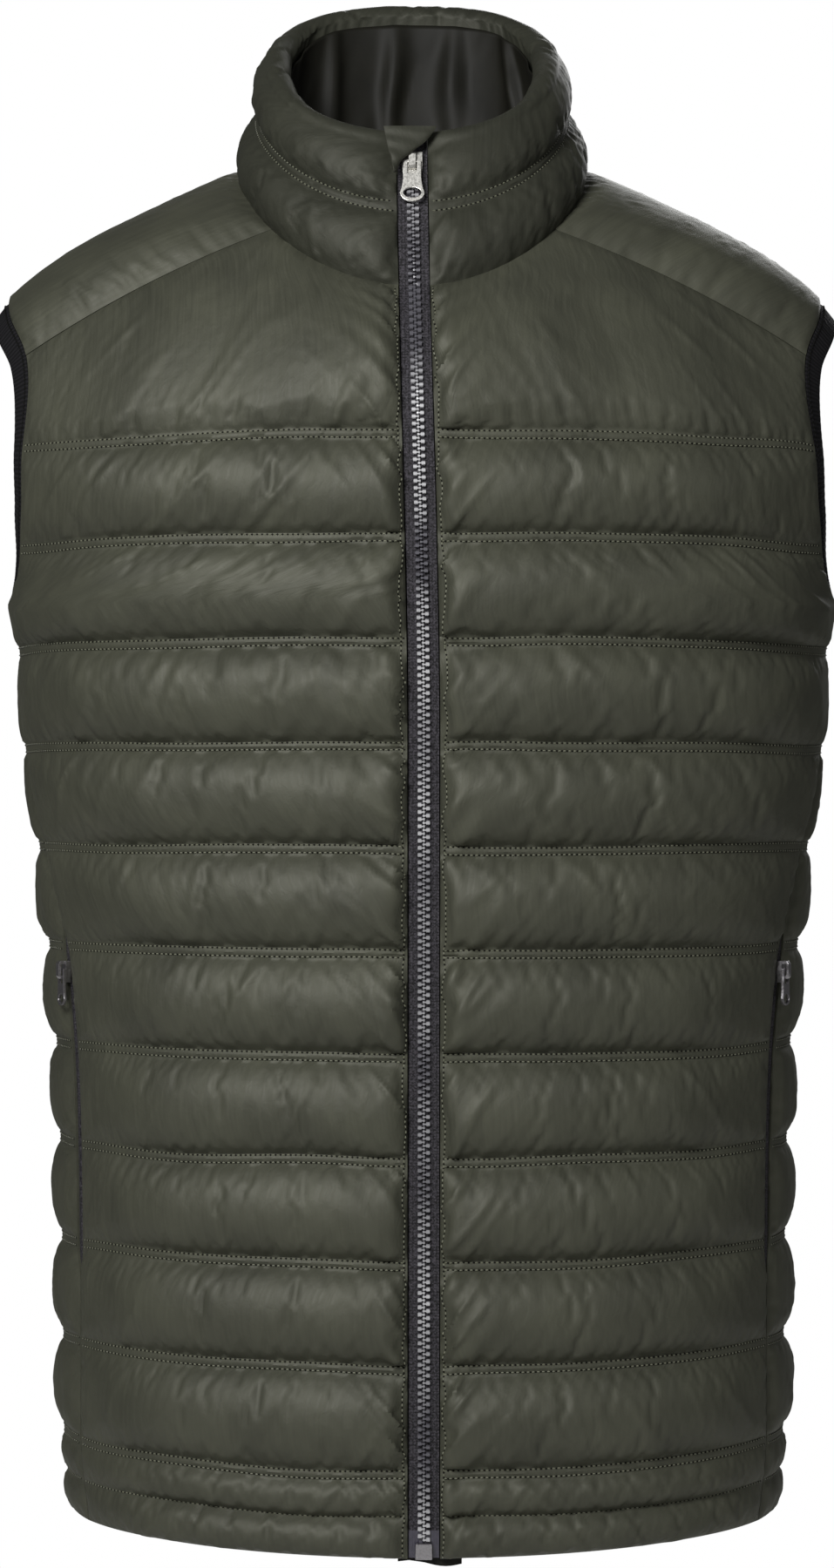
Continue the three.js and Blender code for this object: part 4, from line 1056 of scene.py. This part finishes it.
def build_collar():
    """The padded collar: its section carried round the neck and blown up as cloth."""
    height, depth, held_rows = collar_rows()
    rng = np.random.default_rng(15)
    share, high = np.meshgrid(np.linspace(0, 1, COLLAR_COLUMNS + 1), height)
    base = collar_surface(share, high)
    normals = slope_normal(collar_surface, share, np.minimum(high, 0.98))
    u, v = lengths_along(base, 1), lengths_along(base, 0)
    ends = taper(np.minimum(u, u[:, -1:] - u), COLLAR_TAPER)
    lift = np.where(depth > 0, depth, 0)[:, None] * ends + np.minimum(depth, 0)[:, None]
    held = np.zeros(share.shape, bool)
    held[held_rows] = True
    held[:, [0, -1]] = True
    wrinkle = COLLAR_CREASES * creases(u, v, 0.35, rng)
    wrinkle += rng.normal(0, FINE_LIFT, share.shape)
    start = base + normals * (lift + np.where(held, 0, wrinkle))[..., None]
    grown = capped(swelled(start, held, LOOSE, LESS_FULL), start, normals, *COLLAR_PLAY)
    outer = refined(grown)
    marked = np.zeros(len(outer), bool)
    marked[[0, *(2 * k for k in COLLAR_LINE), 2 * ROLL_ROW, -1]] = True
    to_line = nearest_row_distance(outer, marked)
    u, v = lengths_along(outer, 1), lengths_along(outer, 0)
    to_zip = np.minimum(u, u[:, -1:] - u)
    fine = puckers(u, v, to_line, to_zip, COLLAR_ZIP_FOLD_LIFT, COLLAR_LEAN, rng)
    fine += FOLD_LIFT * fine_folds(u, v, COLLAR_LEAN, rng)
    outside = (np.arange(len(outer)) < 2 * ROLL_ROW)[:, None]
    fine *= np.minimum(1, np.minimum(to_line, to_zip) / CALM_EDGE) * outside
    outer = outer + grid_normals(outer) * fine[..., None]
    rows, columns = outer.shape[:2]
    index = np.arange(rows * columns).reshape(rows, columns)
    faces = [grid_quads(rows, columns, closed_rows=True), index[None, :, 0], index[None, ::-1, -1]]
    flat = np.stack([lengths_along(outer, 1), lengths_along(outer, 0)], -1).reshape(-1, 2)
    # The collar wears the darker copy of the nylon: painted shade.
    piece = closed_mesh(
        "padded_collar", to_metres(outer.reshape(-1, 3)), faces, [NYLON_PAINTED_SHADE], uv=flat * 0.001)
    return piece, outer, grid_normals(outer)


collar, collar_grid, collar_normals = build_collar()
finish_piece(collar, "vest", ["collar"])

FACING_TOP = 0.86  # of the collar's height, just under the rolled rim
# Upright folds of the loose lining: angle round the neck, and how far each stands in.
FACING_FOLDS = ((-2.3, 3.0), (-1.75, 2.4), (-1.2, 3.4), (-0.62, 4.6), (-0.12, 5.0), (0.3, 4.2),
                (0.84, 5.0), (1.4, 3.2), (1.95, 2.6), (2.4, 3.0))


def build_facing():
    """The collar's lining: a sheet inside the collar with soft upright folds, each a bell curve
    of the angle, deepest half way down."""
    rng = np.random.default_rng(16)
    share, down = np.meshgrid(np.linspace(0.004, 0.996, 221), np.linspace(0, 1, 31))
    angle = lerp(-ZIP_NECK_ANGLE, ZIP_NECK_ANGLE, share)
    height = lerp(FACING_TOP, 0.02, down)
    base = collar_point(angle, height)
    inwards = slope_normal(collar_point, angle, height)
    u, v = lengths_along(base, 1), lengths_along(base, 0)
    slant = angle + 0.1 * soft_noise(u, v, 45, rng) * down
    bells = sum(
        depth * np.exp(-((slant - at) / 0.075) ** 2) for at, depth in FACING_FOLDS)
    belly = np.sin(math.pi * np.clip(down * 0.85 + 0.08, 0, 1)) ** 0.7
    bells = bells + 1.2 * soft_noise(u * 1.4, v * 0.5, 16, rng)
    depth = COLLAR_WALL + 2.2 + np.maximum(0, bells) * belly
    sheet = base + inwards * depth[..., None]
    flat = np.stack([u, v], -1).reshape(-1, 2) * 0.001
    piece = add_mesh(
        "collar_lining", to_metres(sheet.reshape(-1, 3)), [grid_quads(*sheet.shape[:2])],
        [LINING], uv=flat)
    wall = piece.modifiers.new("cloth_wall", "SOLIDIFY")
    wall.thickness = 0.0007
    wall.offset = -1
    return piece


facing = finish_piece(build_facing(), "vest", ["collar_facing"])


# Armhole bindings

BINDING_WIDTH = 12.5
BINDING_THICK = 2.4
BINDING_CURL = 0.35
BINDING_SEAM = 2.6  # distance of its stitches from its outer edge
GATHER_LIFT = 0.1
GATHER_PITCH = 4.6
LOOP_STEPS = 420


def arm_loop():
    """The left armhole's edge, once round: points, and normals from the panels that meet it,
    averaged over neighbours so that they turn smoothly."""
    turn = np.linspace(0, 2 * math.pi, LOOP_STEPS, endpoint=False)
    z = ARM_MIDDLE - ARM_HALF * np.cos(turn)
    points = torso(z, math.pi / 2 + ARM_REACH * np.sin(turn))
    turn_low = math.acos((ARM_MIDDLE - LINE_TOP) / ARM_HALF)
    turn_high = 2 * math.pi - math.acos((ARM_MIDDLE - YOKE_SEAM_Z) / ARM_HALF)
    over = (turn - turn_low) / (turn_high - turn_low)
    place = np.clip(lerp(YOKE_BACK_SHARE, 1, over), YOKE_BACK_SHARE, 1)
    low_level = (z - LINE_TOP) / CHEST_SPAN
    high_level = (z - LINE_TOP) / (YOKE_SEAM_Z - LINE_TOP)
    level = np.clip(np.where(z > LINE_TOP, high_level, low_level), -1, 1)
    on_front = slope_normal(front_point, 1 - NUDGE, level)
    on_back = slope_normal(back_point, NUDGE, np.minimum(low_level, 0))
    on_yoke = slope_normal(yoke_point, place, 1 - NUDGE)
    on_sides = np.where((turn > math.pi)[:, None], on_front, on_back)
    normals = np.where(((over > 0) & (over < 1))[:, None], on_yoke, on_sides)
    normals = sum(np.roll(normals, k, axis=0) for k in range(-12, 13))
    return points, normals / np.linalg.norm(normals, axis=-1, keepdims=True)


def build_binding(name, side):
    """A band folded over the armhole's edge: a rounded oblong section carried round the edge,
    drawn up a little every few millimetres by its elastic. Returns the piece and the path of its
    stitching with that path's normals."""
    rng = np.random.default_rng(17 if side > 0 else 18)
    points, normals = arm_loop()
    tangent = np.roll(points, -1, axis=0) - np.roll(points, 1, axis=0)
    across = np.cross(tangent, normals)
    across /= np.linalg.norm(across, axis=-1, keepdims=True)
    inward = np.array([0, 0, ARM_MIDDLE]) - points
    inward[:, 0] = 0
    across *= np.sign((across * inward).sum(-1, keepdims=True))
    across -= BINDING_CURL * normals
    across /= np.linalg.norm(across, axis=-1, keepdims=True)
    turn = np.linspace(0, 2 * math.pi, 24, endpoint=False)
    wide = np.sign(np.cos(turn)) * np.abs(np.cos(turn)) ** 0.45
    thick = np.sign(np.sin(turn)) * np.abs(np.sin(turn)) ** 0.6
    along = np.concatenate([[0], np.cumsum(np.linalg.norm(np.diff(points, axis=0), axis=-1))])
    uneven = 2 * soft_noise(along, 0 * along, 14, rng)
    gather = GATHER_LIFT * np.sin(along * 2 * math.pi / GATHER_PITCH + uneven)
    width = 0.4 + BINDING_WIDTH / 2 * (1 + wide)
    lift = BINDING_THICK / 2 * thick - BINDING_THICK * 0.42
    lift = lift[None, :] + gather[:, None] * np.clip(thick, 0, 1)[None, :]
    section = points[:, None] + across[:, None] * width[None, :, None]
    section = section + normals[:, None] * lift[..., None]
    round_it = np.cumsum(np.hypot(np.gradient(width), np.gradient(BINDING_THICK / 2 * thick)))
    flat = np.stack(np.broadcast_arrays(along[:, None], round_it[None, :]), -1).reshape(-1, 2)
    sewn = points + across * BINDING_SEAM + normals * (BINDING_THICK * 0.1 + 0.1)
    if side < 0:
        section, sewn, normals = mirrored(section), mirrored(sewn), mirrored(normals)
    faces = [grid_quads(LOOP_STEPS, len(turn), closed_rows=True, closed_columns=True)]
    piece = closed_mesh(
        name, to_metres(section.reshape(-1, 3)), faces, [ELASTIC], uv=flat * 0.001)
    return piece, np.vstack([sewn, sewn[:1]]), np.vstack([normals, normals[:1]])


bindings = {}
for side_name, side in (("left", 1), ("right", -1)):
    binding, binding_path, binding_normals = build_binding(f"armhole_binding_{side_name}", side)
    finish_piece(binding, "vest", [f"binding_{side_name}"])
    bindings[side_name] = (binding_path, binding_normals)


# Front zip

TAPE_DEPTH = 1.6  # of the tape's face below the edges of the fronts
TAPE_THICK = 1.0
TAPE_WIDTH = 7.6
TAPE_GAP = 0.2  # of each tape's edge from the zip's middle
FILM_HEIGHT = 12
CHAIN_PITCH = 3.58
CHAIN_TOP = 34.7
BOX_TOP = HEM_EDGE + 8
FIRST_TOOTH = 1.6  # above the box


def on_zip(x, depth, z):
    """A point by its distance from the zip's middle, its depth below the fronts' edges and z."""
    x, depth, z = np.broadcast_arrays(np.asarray(x, float), depth, np.asarray(z, float))
    slope = (front_line(z + 1) - front_line(z - 1)) / 2
    normal = np.stack([np.zeros_like(z), -np.ones_like(z), slope], -1)
    normal /= np.linalg.norm(normal, axis=-1, keepdims=True)
    return np.stack([x, front_line(z), z], -1) - normal * depth[..., None]


def closed_strip(name, section, finishes, finish_of_row=None):
    """A solid strip from a grid of closed sections, one a row, with a face across each end."""
    rows, columns = section.shape[:2]
    index = np.arange(rows * columns).reshape(rows, columns)
    faces = [grid_quads(rows, columns, closed_columns=True), index[:1, ::-1], index[-1:]]
    finish_of_face = None
    if finish_of_row is not None:
        finish_of_face = np.concatenate([np.repeat(finish_of_row[:-1], columns), finish_of_row[[0, -1]]])
    flat = np.stack([lengths_along(section, 1), lengths_along(section, 0)], -1).reshape(-1, 2)
    return closed_mesh(
        name, to_metres(section.reshape(-1, 3)), faces, finishes,
        finish_of_face=finish_of_face, uv=flat * 0.001)


def build_tape(name, side):
    """Half of the zip's tape: a flat section with a raised bead at the chain and two fine ribs,
    carried down the front. Its foot has a stiffening film."""
    share = np.linspace(0, 1, 17)
    face = TAPE_DEPTH - 0.35 * np.exp(-((share - 0.12) / 0.08) ** 2)
    face -= 0.12 * np.cos(share * 2 * math.pi * 5) * (share > 0.3)
    x = np.concatenate([lerp(TAPE_GAP, TAPE_WIDTH, share), [TAPE_WIDTH, TAPE_GAP]])
    depth = np.concatenate([face, [TAPE_DEPTH + TAPE_THICK] * 2])
    z = np.linspace(HEM_EDGE + 0.3, ZIP_TOP, 260)
    section = on_zip(x[None, :], depth[None, :], z[:, None])
    if side < 0:
        section = mirrored(section)
    on_film = (z < HEM_EDGE + FILM_HEIGHT).astype(int)
    return closed_strip(name, section, [TAPE, FILM], finish_of_row=on_film)


for side_name, side in (("left", 1), ("right", -1)):
    tape = build_tape(f"woven_tape_{side_name}", side)
    finish_piece(tape, "vest", [f"zip_tape_{side_name}"])

# One tooth in sections along its length: distance from the zip's middle, half its height.
TOOTH_LENGTH = np.array([3.05, 2.85, 1.25, 1.05, 0.55, 0.3, -0.45, -0.65])
TOOTH_HALF = np.array([0.75, 1.05, 1.05, 0.42, 0.42, 0.72, 0.72, 0.5])
# The outline of each section: share of the half height, and height above the tape.
TOOTH_SECTION = np.array([(-1, 0), (-1, 1.3), (-0.62, 1.95), (0.62, 1.95), (1, 1.3), (1, 0)])


def build_teeth():
    """All moulded teeth as one mesh: a waisted tooth with a chamfered face, repeated down each
    side with half a pitch between the two sides."""
    rows, columns = len(TOOTH_LENGTH), len(TOOTH_SECTION)
    index = np.arange(rows * columns).reshape(rows, columns)
    pattern = [grid_quads(rows, columns, closed_columns=True), index[:1, ::-1], index[-1:]]
    points, faces = [], [[] for _ in pattern]
    for side in (1, -1):
        start = BOX_TOP + FIRST_TOOTH + (0 if side > 0 else CHAIN_PITCH / 2)
        z = np.arange(start, CHAIN_TOP, CHAIN_PITCH)[:, None, None]
        half = TOOTH_HALF[None, :, None] * TOOTH_SECTION[None, None, :, 0]
        ease = np.clip((TOOTH_LENGTH + 1.6) / 1.2, 0.75, 1)[None, :, None]
        height = TOOTH_SECTION[None, None, :, 1] * ease
        x = side * TOOTH_LENGTH[None, :, None]
        teeth = on_zip(x, TAPE_DEPTH - 0.1 - height, z + half)
        first = sum(len(p) for p in points)
        count = rows * columns
        offsets = first + count * np.arange(teeth.shape[0])
        for group, shape in zip(faces, pattern):
            corners = (shape[None] + offsets[:, None, None]).reshape(-1, shape.shape[1])
            group.append(corners if side > 0 else corners[:, ::-1])
        points.append(teeth.reshape(-1, 3))
    return closed_mesh(
        "moulded_teeth", to_metres(np.concatenate(points)),
        [np.concatenate(group) for group in faces], [TEETH], smooth_angle=35)


finish_piece(build_teeth(), "vest", ["zip_chain"])

FLAP_TOP = -75
FLAP_RIGHT, FLAP_LEFT = -13, 19
FLAP_FRONT, FLAP_BACK = 4.2, 5.3  # depth of its two faces below the edges of the fronts


def build_flap():
    """The flap behind the zip: a strip of cloth with a slightly wavy lower edge."""
    share = np.linspace(0, 1, 13)
    z = np.linspace(HEM_EDGE - 3, FLAP_TOP, 160)[:, None]
    low = 1.2 * np.sin(share * 5.5 + 0.6) * np.exp(-(z - HEM_EDGE) / 12)
    swell = 0.5 * np.sin(math.pi * share)
    x = lerp(FLAP_RIGHT, FLAP_LEFT, share)[None, :]
    front = on_zip(x, FLAP_FRONT, z + low)
    behind = on_zip(x, FLAP_BACK + swell, z + low)
    return closed_strip("inner_flap_cloth", np.concatenate([front, behind[:, ::-1]], 1), [LINING])


flap = finish_piece(build_flap(), "vest", ["inner_flap"])

GARAGE = np.array([  # height, right edge, left edge, how far the left edge stands off
    (40.5, -9.6, -8.8, 1.2),
    (47, -10.8, -5.6, 3.2),
    (52, -11.9, 0.5, 4.6),
    (58, -13.1, 7.5, 5.8),
    (65, -14.4, 12.4, 6.4),
], float)
GARAGE_FOOT = 6.8


def build_garage():
    """The folded corner over the top of the zip: a padded double cloth whose free edge is a
    rounded fold."""
    z = np.linspace(GARAGE[0, 0], GARAGE[-1, 0], 25)
    right, left, lift = reading(GARAGE, z)
    share = np.linspace(0, 1, 17)
    x = lerp(right[:, None], left[:, None], share[None, :])
    rise = lerp(GARAGE_FOOT, np.maximum(lift, 5.4)[:, None], share[None, :])
    puff = 1.1 * np.sin(math.pi * share[None, :]) ** 0.5 + 0.25 * np.sin(z[:, None] * 0.9 + share * 4)
    y = front_line(z)[:, None]
    outer = np.stack([x, y - rise - 0.9 - puff, z[:, None] + 0 * x], -1)
    inner = np.stack([x, y - rise, z[:, None] + 0 * x], -1)
    fold = np.stack([x[:, -1:] + 0.45, y - rise[:, -1:] - 0.5, z[:, None]], -1)
    section = np.concatenate([outer, fold, inner[:, ::-1]], 1)
    # The fold wears the darker copy of the nylon: painted shade.
    return closed_strip("zip_garage_fold", section, [NYLON_PAINTED_SHADE])


garage = finish_piece(build_garage(), "vest", ["zip_garage"])


# Pocket zips

POCKET_SPARE = 6  # how much longer the strip is than the zip, at each end


def torso_surface(angle, z):
    """The torso with its angle first, as slope_normal needs it."""
    return torso(z, angle)


def build_pocket_tape(name, side):
    """The strip in the side seam's gap, with the coil's low ridge down its middle."""
    z = np.linspace(POCKET_BOTTOM - POCKET_SPARE, POCKET_TOP + POCKET_SPARE, 120)
    low, high = front_edge_angle(z), back_edge_angle(z)
    share = np.linspace(0.05, 0.95, 9)
    angle = lerp(low[:, None], high[:, None], share[None, :])
    face = torso(z[:, None], angle)
    outward = slope_normal(torso_surface, angle, z[:, None])
    ridge = 0.5 * np.exp(-((share - 0.5) / 0.16) ** 2)[None, :, None]
    outer = face - outward * (TAPE_THICK - ridge)
    inner = (face - outward * TAPE_THICK * 2)[:, [-1, 0]]
    section = np.concatenate([outer, inner], 1)
    return closed_strip(name, section if side > 0 else mirrored(section), [TAPE])


for side_name, side in (("left", 1), ("right", -1)):
    pocket = build_pocket_tape(f"pocket_tape_{side_name}", side)
    finish_piece(pocket, "vest", [f"pocket_zip_{side_name}"])


SEAM_STRIP_HALF = 9
SEAM_STRIP_DEPTH = 3.1  # just under the panels' inner skins
SEAM_STRIP_THICK = 0.8


def build_seam_strip(name, side):
    """The strip of lining sewn over the side seam's inside, from the hem to the armhole. It also
    backs the pocket zip."""
    z = np.linspace(HEM_EDGE + 1.5, ARM_BOTTOM - 1.5, 200)[:, None]
    half_width, front, _ = reading(TORSO, z)
    middle = side_angle(z)
    reach = SEAM_STRIP_HALF / np.hypot(half_width * np.cos(middle), front * np.sin(middle))
    angle = middle + reach * np.linspace(-1, 1, 9)
    outward = slope_normal(torso_surface, angle, z)
    near = torso(z, angle) - outward * SEAM_STRIP_DEPTH
    section = np.concatenate([near, (near - outward * SEAM_STRIP_THICK)[:, ::-1]], 1)
    return closed_strip(name, section if side > 0 else mirrored(section), [LINING])


for side_name, side in (("left", 1), ("right", -1)):
    strip = finish_piece(build_seam_strip(f"side_seam_strip_{side_name}", side), "vest")


# Metal parts keep their solids, with their edges rounded as a casting's are.

def round_edges(node, width, finish):
    """Gives a CAD node its metal and a live bevel over welded corners."""
    piece = bpy.data.objects[node]
    for slot_number in range(max(1, len(piece.material_slots))):
        if slot_number < len(piece.material_slots):
            piece.material_slots[slot_number].material = finish
        else:
            piece.data.materials.append(finish)
    piece.modifiers.new("weld", "WELD").merge_threshold = 0.00001
    bevel = piece.modifiers.new("round_edges", "BEVEL")
    bevel.width = width
    bevel.segments = 2
    bevel.limit_method = "ANGLE"
    bevel.angle_limit = math.radians(40)


for node, width, finish in (
        ("zip_slider", 0.00035, NICKEL), ("zip_pull", 0.0003, NICKEL), ("zip_box", 0.0004, GUNMETAL),
        ("pocket_slider_left", 0.0003, GUNMETAL), ("pocket_slider_right", 0.0003, GUNMETAL),
        ("pocket_pull_left", 0.00028, GUNMETAL), ("pocket_pull_right", 0.00028, GUNMETAL)):
    round_edges(node, width, finish)


# Stitches

STITCH_PITCH = 2.6
STITCH_LENGTH = 1.7
STITCH_RADIUS = 0.48
# Sizes of the dark dots between the stitches, painted shade at the needle holes.
NEEDLE_HOLE_SHADE_HALF = 0.62
NEEDLE_HOLE_SHADE_RISE = 0.34
BEAD_LIFT = 0.12  # height of a stitch's middle above the cloth


def stitch_row(path, normals):
    """Stitches along a path, a slim octahedron on every pitch, half sunk in the cloth, and between
    them much flatter dark ones at the needle holes, which are painted shade."""
    steps = np.linalg.norm(np.diff(path, axis=0), axis=-1)
    along = np.concatenate([[0], np.cumsum(steps)])
    at = np.arange(STITCH_PITCH, along[-1] - STITCH_PITCH, STITCH_PITCH)

    def read(values, where):
        return np.stack([np.interp(where, along, values[:, k]) for k in range(3)], -1)

    def beads(where, half_length, half_width, rise):
        middle = read(path, where)
        forward = read(path, where + 1) - read(path, where - 1)
        forward /= np.linalg.norm(forward, axis=-1, keepdims=True)
        up = read(normals, where)
        up /= np.linalg.norm(up, axis=-1, keepdims=True)
        aside = np.cross(forward, up) * half_width
        forward = forward * half_length
        middle = middle + up * BEAD_LIFT
        return np.stack([
            middle + forward, middle - forward, middle + aside, middle - aside,
            middle + up * rise, middle - up * rise], 1)

    points = np.concatenate([
        beads(at, STITCH_LENGTH / 2, STITCH_RADIUS, STITCH_RADIUS),
        beads(at + STITCH_PITCH / 2, NEEDLE_HOLE_SHADE_HALF, NEEDLE_HOLE_SHADE_HALF, NEEDLE_HOLE_SHADE_RISE)])
    corners = np.array([(0, 2, 4), (2, 1, 4), (1, 3, 4), (3, 0, 4),
                        (2, 0, 5), (1, 2, 5), (3, 1, 5), (0, 3, 5)])
    faces = corners[None] + 6 * np.arange(len(points))[:, None, None]
    finish = np.repeat([0, 1], len(at) * len(corners))
    return points.reshape(-1, 3), faces.reshape(-1, 3), finish


def build_stitches(name, lines, finish):
    """All stitches of some paths as one piece. lines holds pairs of a path and its normals."""
    points, faces, finish_of_face, first = [], [], [], 0
    for path, normals in lines:
        more_points, more_faces, more_finishes = stitch_row(path, normals)
        points.append(more_points)
        faces.append(more_faces + first)
        finish_of_face.append(more_finishes)
        first += len(more_points)
    piece = closed_mesh(
        name, to_metres(np.concatenate(points)), [np.concatenate(faces)], [finish, NEEDLE_HOLE_SHADE],
        finish_of_face=np.concatenate(finish_of_face), smooth_angle=80)
    return finish_piece(piece, "vest")


def sewn_rows(grid, normals, rows):
    """The lines of stitches on a refined grid: on the sewn rows of the first one, those of a
    double line drawn half a row towards its middle, where they lie on the flat band."""
    held, sewn = rows[2], rows[3]
    lines = []
    for number in np.flatnonzero(sewn):
        inwards = int(held[number + 1]) - int(held[number - 1])
        k = 2 * number
        lines.append((lerp(grid[k], grid[k + inwards], 0.5), normals[k + inwards]))
    return lines


left_lines = sewn_rows(left_grid, left_normals, front_rows)
left_lines.append((left_grid[:, 2], left_normals[:, 2]))
right_lines = sewn_rows(right_grid, right_normals, front_rows)
right_lines.append((right_grid[:, -3], right_normals[:, -3]))
back_lines = sewn_rows(back_grid, back_normals, back_rows)
collar_lines = [
    (collar_grid[2 * k], collar_normals[2 * k]) for k in (COLLAR_LINE[0], COLLAR_LINE[-1])]
for place, lines in (("front_left", left_lines), ("front_right", right_lines),
                     ("back", back_lines), ("collar", collar_lines)):
    build_stitches(f"stitching_{place}", lines, THREAD)
build_stitches("stitching_bindings", list(bindings.values()), ELASTIC)


# Studio

FLOOR_HEIGHT = -0.93
FLOOR_RADIUS = 1.5
ROOM_LIGHT = 0.07


def build_floor():
    """A pale round floor under the vest: rings of points round its middle."""
    # Matt white paint, faintly mottled.
    white_paint = mottled(
        "matt_white_backdrop", 2.0, 1.0, "#dededc", "#e4e4e2", {"Roughness": 0.9})
    turn = np.linspace(0, 2 * math.pi, 96, endpoint=False)
    radius = np.linspace(0, FLOOR_RADIUS, 12)[1:]
    x, y = radius[:, None] * np.sin(turn), radius[:, None] * np.cos(turn)
    rings = np.stack([x, y, np.full(x.shape, FLOOR_HEIGHT)], -1).reshape(-1, 3)
    quads = grid_quads(len(radius), len(turn), closed_columns=True)
    middle = np.arange(len(turn))[None]
    piece = add_mesh("studio_floor", rings, [quads, middle], [white_paint])


def add_softbox(name, place, aim, size, power):
    """A square area light that looks at a point."""
    light = bpy.data.lights.new(name, "AREA")
    light.size = size
    light.energy = power
    lamp = bpy.data.objects.new(name, light)
    bpy.context.scene.collection.objects.link(lamp)
    lamp.location = place
    lamp.rotation_euler = (Vector(aim) - Vector(place)).to_track_quat("-Z", "Y").to_euler()


def light_studio():
    """A large key from the upper left, a weak fill from the right, a light from behind that
    edges the shoulders, and a white surround that lights the vest less than it shows."""
    world = bpy.data.worlds.new("white_room")
    bpy.context.scene.world = world
    world.use_nodes = True
    nodes, links = world.node_tree.nodes, world.node_tree.links
    room = nodes["Background"]
    room.inputs["Color"].default_value = (1, 1, 1, 1)
    room.inputs["Strength"].default_value = ROOM_LIGHT
    seen = nodes.new("ShaderNodeBackground")
    seen.inputs["Color"].default_value = (1, 1, 1, 1)
    path, mix = nodes.new("ShaderNodeLightPath"), nodes.new("ShaderNodeMixShader")
    links.new(path.outputs["Is Camera Ray"], mix.inputs[0])
    links.new(room.outputs[0], mix.inputs[1])
    links.new(seen.outputs[0], mix.inputs[2])
    links.new(mix.outputs[0], nodes["World Output"].inputs["Surface"])
    add_softbox("key", (-0.68, -1.78, 0.7), (0, 0, 0.1), 0.8, 40.5)
    add_softbox("fill", (2.0, -1.8, 0.6), (0, 0, -0.1), 1.2, 5)
    add_softbox("back", (0.6, 2.6, 0.9), (0, 0, -0.3), 1.4, 40)
    bpy.context.scene.view_settings.view_transform = "Standard"


def aim_camera():
    """The photograph's view: level, 2.55 m in front, at the height of the chest."""
    camera = bpy.data.objects.new("camera", bpy.data.cameras.new("camera"))
    bpy.context.scene.collection.objects.link(camera)
    camera.location = (0, -2.55, -0.27)
    camera.rotation_euler = (math.pi / 2, 0, 0)
    camera.data.lens = 111.7
    camera.data.sensor_width = 36
    bpy.context.scene.camera = camera


build_floor()
light_studio()
aim_camera()
